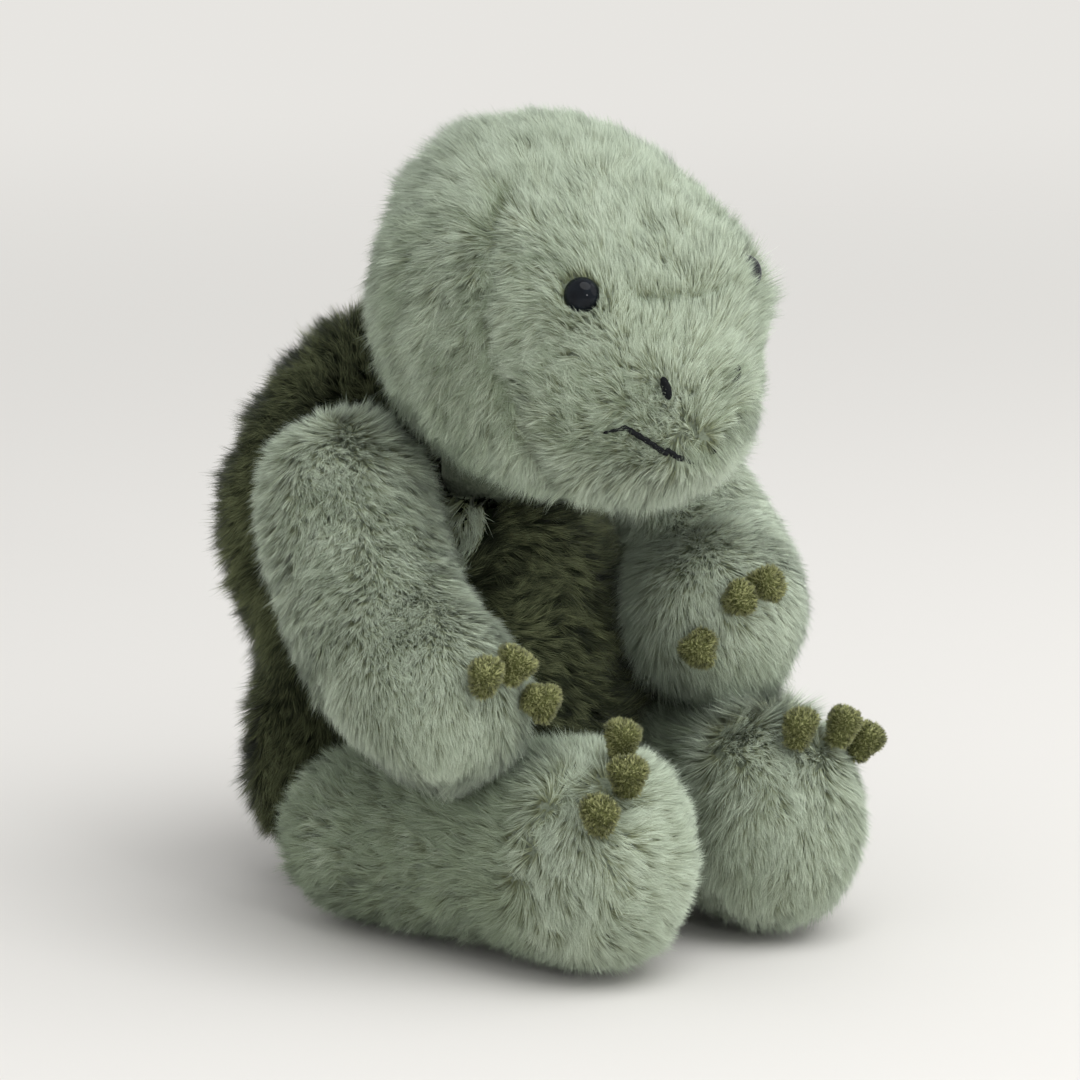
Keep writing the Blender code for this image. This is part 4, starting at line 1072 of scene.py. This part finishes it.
DARK = "dark_green_pile"
TRUNK_STRANDS, BELLY_STRANDS, SHELL_STRANDS = 12, 14, 10
rng = np.random.default_rng(301)
trunk = dress("trunk_skin", trunk_lay, 3.0, TRUNK_STRANDS, 0.0090, (0.85, 0.36), rng, 1.2)
on_belly = in_belly(trunk)
front = 1 - rise(trunk["root"][:, 1], -0.02, 0.0)
left_flank = rise(trunk["root"][:, 0], 0.030, 0.042) * front
breast = rise(trunk["root"][:, 2], 0.140, 0.155) * front
trunk["length"] *= 1 + 0.8 * left_flank + 0.3 * breast
trunk["steep"] += 0.3 * left_flank
# painted light on the breast, which lies in the head's shadow
trunk["tone"] += 0.50 * breast
trunk["fill"] = FILL + 0.36 * left_flank + 0.30 * breast
add_pile("trunk_pile", part_of(settle(trunk), ~on_belly), "trunk", TRUNK_STRANDS, SAGE_WIDTH * 1.2, 0.0012, 0.7,
         SAGE, rng)

belly = dress("trunk_skin", belly_lay, 4.4, BELLY_STRANDS, 0.0100, (0.80, 0.24), rng, 0.9, swirl=0.6)
on_belly = in_belly(belly)
settle(belly)
belly["tone"] = 0.34 + (belly["tone"] - EVEN_TONE) * 2.0
belly["uneven"] = np.full(len(belly["tone"]), 1.6)
ruffle(belly, np.full(len(belly["tone"]), 0.6), 620)
belly_pile = add_pile("belly_pile", part_of(belly, on_belly), "trunk", BELLY_STRANDS, SAGE_WIDTH, 0.0011, 0.8,
                      DARK, rng)
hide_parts("belly_panel")

shell = dress("shell_skin", shell_lay, 6.0, SHELL_STRANDS, 0.0118, (0.98, 0.66), rng, 1.0, swirl=0.5)
low_side = rise(np.abs(shell["root"][:, 0]), 0.040, 0.070) * (1 - rise(shell["root"][:, 2], 0.13, 0.20))
shell["tone"] = 0.40 + (shell["tone"] - EVEN_TONE) * 1.3 + 0.26 * low_side
shell["uneven"] = np.full(len(shell["tone"]), 1.9)
ruffle(shell, np.full(len(shell["tone"]), 0.6), 600)
settle(shell)
rear = shell["root"][:, 1] > 0.060
for name, mask in (("shell_rim_pile", ~rear), ("shell_back_pile", rear)):
    add_pile(name, part_of(shell, mask), "trunk", SHELL_STRANDS, SAGE_WIDTH * 1.15, 0.0010, 0.75, DARK, rng)

# %% [markdown]
# The neck is hidden while the head rests on the breast. When the head turns or lifts, a
# bare neck would show, so it has a short pile too, where it is outside its two neighbours.

# %% Neck pile
nets["neck"] = skin_net(NODES["neck"])
neck = dress("neck", trunk_lay, 5.0, SAGE_STRANDS, 0.0075, (0.80, 0.40), rng)
for skin in ("head_skin", "trunk_skin"):
    neck = part_of(neck, clear_of(neck["root"], skin))
neck["tone"] += 0.20
add_pile("neck_pile", settle(neck), "neck", SAGE_STRANDS, SAGE_WIDTH, 0.00066, 0.8, SAGE, rng)

# %% [markdown]
# ## Claws
# Each claw is a small stuffed cone of short plush, narrow where it is sewn in and plump at
# its end. Its form is worked out from one profile of radii along the line, the length and
# the girth of its CAD claw. A thick short nap then stands on it all over, in small tufts
# that lie every way.

# %% Closed round forms
def closed_form(name, points, sides):
    """A closed mesh from rings of points: faces between the rings, and a fan at each end from the ring to its
    middle point. All faces are turned outwards."""
    import bmesh
    rows = len(points) // sides
    poles = np.stack((points[:sides].mean(0), points[-sides:].mean(0)))
    j = np.arange(sides)
    n = (j + 1) % sides
    low = np.stack((n, j, np.full(sides, len(points))), 1)
    last = (rows - 1) * sides
    high = np.stack((last + j, last + n, np.full(sides, len(points) + 1)), 1)
    mesh = fill_mesh(name, np.concatenate((points, poles)),
                     [grid_faces(rows, sides), np.concatenate((low, high))])
    shape = bmesh.new()
    shape.from_mesh(mesh)
    bmesh.ops.recalc_face_normals(shape, faces=shape.faces)
    shape.to_mesh(mesh)
    shape.free()
    return mesh


def rings_of(steps, sides):
    """Each step along a form with each angle round it, as two grids."""
    return np.meshgrid(steps, np.arange(sides) * 2 * np.pi / sides, indexing="ij")


# %% Claws
CLAW_PROFILE = np.array(((0.0, 0.30), (0.02, 0.60), (0.15, 0.66), (0.35, 0.76), (0.55, 0.90), (0.70, 0.97),
                         (0.82, 0.96), (0.91, 0.84), (0.97, 0.60), (0.995, 0.30)))
CLAW_LONGER, CLAW_WIDER, CLAW_FLATTER = 1.03, 1.06, 0.95
NAP_LENGTH, NAP_STRANDS = 0.0022, 6


def claw_form(name, node, centre, rings=30, sides=28):
    """A plump drop: radius along the claw follows a smooth profile, a little flattened, with two faint lobes
    that grow to the tip. Its line, length and radius are those of the CAD claw. Its base point comes too."""
    corners = corners_of(node)
    middle, axes = frame_of(corners)
    along = axes[0] * np.sign((axes[0] * (middle - centre)).sum())
    run = (corners - middle) @ along
    girth = np.linalg.norm(corners - middle - run[:, None] * along, axis=1).max()
    t, a = rings_of(np.linspace(0, 1, rings) ** 0.9, sides)
    share = np.interp(t, CLAW_PROFILE[:, 0], CLAW_PROFILE[:, 1])
    share = share * (1 + 0.07 * rise(t, 0.4, 0.9) * np.cos(2 * a)) * girth
    height = run.min() + t * (run.max() - run.min()) * CLAW_LONGER
    points = (middle + height[..., None] * along + (share * np.cos(a) * CLAW_WIDER)[..., None] * axes[1]
              + (share * np.sin(a) * CLAW_FLATTER)[..., None] * axes[2])
    return closed_form(name, points.reshape(-1, 3), sides), middle + along * run.min()


def claw_locks(form, base, tone, rng):
    """Short locks all over a claw: their lay is random with a pull away from the base, and their lengths,
    lifts and tones follow tufts of 2 mm."""
    roots, normals = spread_roots((positions(form), triangles(form), point_normals(form)), 2.6, rng)
    count = len(roots)
    wild = along_skin(rng.normal(size=(count, 3)) + unit(roots - base) * 0.8, normals)
    tuft = drift(roots, 0.0022, 31)
    return dict(root=roots, normal=normals, lay=wild, length=NAP_LENGTH * (1 + 0.22 * tuft),
                steep=np.full(count, 1.05), flat=0.90 + 0.2 * tuft, thick=np.full(count, 1.35),
                tone=tone + 0.30 * tuft + rng.normal(0, 0.20, count), flatten=np.ones(count),
                tilt=0.4 * np.stack([drift(roots, 0.002, 34 + j) for j in range(3)], 1))


olive_backing = backing_material("olive_backing", (0.06, 0.068, 0.022, 1), (0.15, 0.165, 0.06, 1))
for part in CLAWS:
    body = part.replace("hand", "arm").replace("foot", "leg")
    centre = (HAND if "hand" in part else FOOT)[part.split("_")[0]]
    for k in (1, 2, 3):
        node = f"{part}_claw_{k}"
        rng = np.random.default_rng(400 + len(part) * 10 + k)
        form, base = claw_form(f"{node}_plush", node, centre)
        plush = add_piece(f"{node}_plush", form, olive_backing)
        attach(plush, body)
        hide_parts(node)
        locks = claw_locks(form, base, 0.55 if "hand" in part else 0.44, rng)
        add_pile(f"{node}_nap", locks, body, NAP_STRANDS, SAGE_WIDTH, 0.00045, 0.9, "olive_nap", rng)

# %% [markdown]
# ## Eyes, nostrils and mouth
# The eyes are domed safety buttons of polished plastic. The nostrils and the mouth are sewn
# with black thread, whose fibres scatter the light and give it a satin look. Both finishes
# need fine unevenness, because a perfect black surface looks like a hole.

# %% Thread and button materials
def button_material():
    """Polished black plastic with a cool tint, faint haze and fine scratches."""
    material, n = new_material("black_button_gloss")
    where = n.where()
    haze, fine = n.noise(where, 260.0, 4.0), n.noise(where, 2400.0, 2.0)
    colour = n.ramp(haze, (0.3, (0.003, 0.004, 0.006, 1)), (0.7, (0.007, 0.010, 0.014, 1)))
    rough = n.maths("ADD", 0.02, n.maths("MULTIPLY", haze, 0.05))
    bump = n.add("ShaderNodeBump", {"Height": fine, "Strength": 0.04, "Distance": 0.0002})
    n.surface({"Base Color": colour, "Roughness": rough, "Normal": bump.outputs[0],
               "Specular IOR Level": 0.16, "Coat Weight": 0.0})
    return material


def thread_material():
    """Black embroidery thread: soft satin with fine fibres."""
    material, n = new_material("black_thread_satin")
    fibre = n.noise(n.where(), 3200.0, 2.0)
    colour = n.ramp(fibre, (0.35, (0.002, 0.0025, 0.003, 1)), (0.7, (0.011, 0.013, 0.015, 1)))
    bump = n.add("ShaderNodeBump", {"Height": fibre, "Strength": 0.5, "Distance": 0.0002})
    n.surface({"Base Color": colour, "Roughness": 0.75, "Normal": bump.outputs[0],
               "Specular IOR Level": 0.15})
    return material


button_gloss, thread_satin = button_material(), thread_material()


def add_detail(name, points, sides, material, node):
    """A closed piece on the head that stands for one CAD node."""
    piece = add_piece(name, closed_form(name, points.reshape(-1, 3), sides), material)
    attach(piece, "head")
    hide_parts(node)


# %% [markdown]
# A safety eye is a turned form: one profile of a flat back, a rounded rim and a dome, swept
# about the line of its shank. It is pulled a little into the fur by the washer behind it.

# %% Eyes
EYE_RADIUS, EYE_RIM, EYE_SUNK, EYE_SIDES = 0.0064, 0.0016, 0.0025, 48


def turned(profile, middle, axis, sides):
    """A profile of (radius, height) pairs turned about an axis: radius round it, height along it."""
    across = unit(np.cross(axis, (0, 0, 1.0)))
    up = np.cross(axis, across)
    a = np.arange(sides) * 2 * np.pi / sides
    ring = np.cos(a)[:, None] * across + np.sin(a)[:, None] * up
    radius, height = profile[:, 0], profile[:, 1]
    return middle + radius[:, None, None] * ring + height[:, None, None] * axis


t = np.linspace(0, np.pi / 2, 18)
dome = np.stack((EYE_RADIUS * np.cos(t), EYE_DOME * np.sin(t)), 1)[:-1]
rim = np.array(((EYE_RADIUS * 0.55, -EYE_RIM), (EYE_RADIUS * 0.93, -EYE_RIM), (EYE_RADIUS, -EYE_RIM * 0.6)))
for side, (middle, axis) in EYES.items():
    points = turned(np.concatenate((rim, dome)), middle - axis * EYE_SUNK, axis, EYE_SIDES)
    add_detail(f"{side}_eye_button", points, EYE_SIDES, button_gloss, f"{side}_eye")
print("eyes:", round(EYE_RADIUS * 2000, 1), "mm across")

# %% [markdown]
# A nostril is a patch of satin stitch: threads laid side by side over a lens-shaped field.
# So it is a lens whose girth swells once for each thread. The left one is sunk deeper,
# because on the turned side of the muzzle the fur hides it.

# %% Nostrils
NOSTRIL_STITCHES, NOSTRIL_RINGS, NOSTRIL_SIDES = 16, 121, 28
NOSTRIL_LIFT = {"right": 0.0005, "left": -0.0022}
for side, lift in NOSTRIL_LIFT.items():
    corners = corners_of(f"{side}_nostril_stitch")
    middle, axes = frame_of(corners)
    long, wide = axes[0], axes[1]
    out = np.cross(long, wide)
    out *= np.sign((out * (middle - HEAD_CENTRE)).sum())
    half = [np.abs((corners - middle) @ a).max() for a in (long, wide, out)]
    s, a = rings_of(np.linspace(-0.995, 0.995, NOSTRIL_RINGS), NOSTRIL_SIDES)
    girth = (1 - s ** 2) ** 0.5 * (1 + 0.10 * np.abs(np.sin(s * NOSTRIL_STITCHES * np.pi / 2)))
    points = (middle + (s * half[0])[..., None] * long + (girth * half[1] * np.cos(a))[..., None] * wide
              + (girth * half[2] * 1.15 * np.sin(a) + lift)[..., None] * out)
    add_detail(f"{side}_nostril_thread", points, NOSTRIL_SIDES, thread_satin, f"{side}_nostril_stitch")
print("nostrils:", NOSTRIL_STITCHES, "threads each")

# %% [markdown]
# The mouth is one thick thread of two plies, pulled tight on the fabric. A tube that swells
# twice round, with the swelling turning along it, looks like two twisted plies. Its line is
# read from the CAD thread, and past the middle it sinks below the fur.

# %% Mouth
THREAD_RADIUS, THREAD_TWIST, THREAD_SIDES = 0.0010, 900.0, 16


def mouth_path(samples=220, steps=24):
    """The middle line of the sewn mouth: the CAD thread's points averaged in steps of azimuth, then sampled
    evenly. Gives the points and how far along the line each one is."""
    azimuth, _ = angles_round(HEAD_CENTRE, MOUTH)
    which = np.digitize(azimuth, np.linspace(azimuth.min(), azimuth.max() + 1e-6, steps))
    knots = np.array([MOUTH[which == k].mean(0) for k in range(1, steps) if (which == k).any()])
    run = np.concatenate(([0], np.cumsum(np.linalg.norm(np.diff(knots, axis=0), axis=1))))
    even = np.linspace(0, run[-1], samples)
    return np.stack([np.interp(even, run, knots[:, k]) for k in range(3)], 1), even


def twisted_thread(path, run, sides):
    """A tube along a path with two plies: its radius swells twice round, and the swelling turns along the
    path. Towards both ends the thread gets thinner."""
    along = unit(np.gradient(path, axis=0))
    out = unit(path - HEAD_CENTRE)
    across = unit(np.cross(along, out))
    out = np.cross(across, along)
    a = np.arange(sides)[None, :] * 2 * np.pi / sides
    ends = np.minimum(1, np.minimum(run, run[-1] - run) / 0.0012) ** 0.5 * 0.97 + 0.03
    ends = ends * (0.55 + 0.45 * rise(run, 0.003, 0.010))
    ply = 1 + 0.16 * np.cos(2 * a - THREAD_TWIST * 2 * run[:, None])
    r = (THREAD_RADIUS * ends[:, None] * ply)[..., None]
    return path[:, None] + r * (np.cos(a)[..., None] * across[:, None] + np.sin(a)[..., None] * out[:, None])


path, run = mouth_path()
sunk = 0.0007 + 0.0030 * rise(path[:, 0], -0.0125, -0.006)
points = twisted_thread(path - unit(path - HEAD_CENTRE) * sunk[:, None], run, THREAD_SIDES)
add_detail("mouth_thread", points, THREAD_SIDES, thread_satin, "mouth_stitch")
print("mouth:", round(run[-1] * 1000), "mm of thread")

# %% [markdown]
# ## What stays of the frame
# The neck's solid stays as it is, inside its pile, and gets the sage backing.

# %% Neck
for holder in NODES["neck"].material_slots:
    holder.material = backings["sage"]
print("neck:", len(NODES["neck"].data.vertices), "points of the frame stay")


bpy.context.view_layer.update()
shown = list(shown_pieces())
print("pieces:", len(shown), "triangles:", sum(len(o.data.loops) - 2 * len(o.data.polygons) for o in shown))
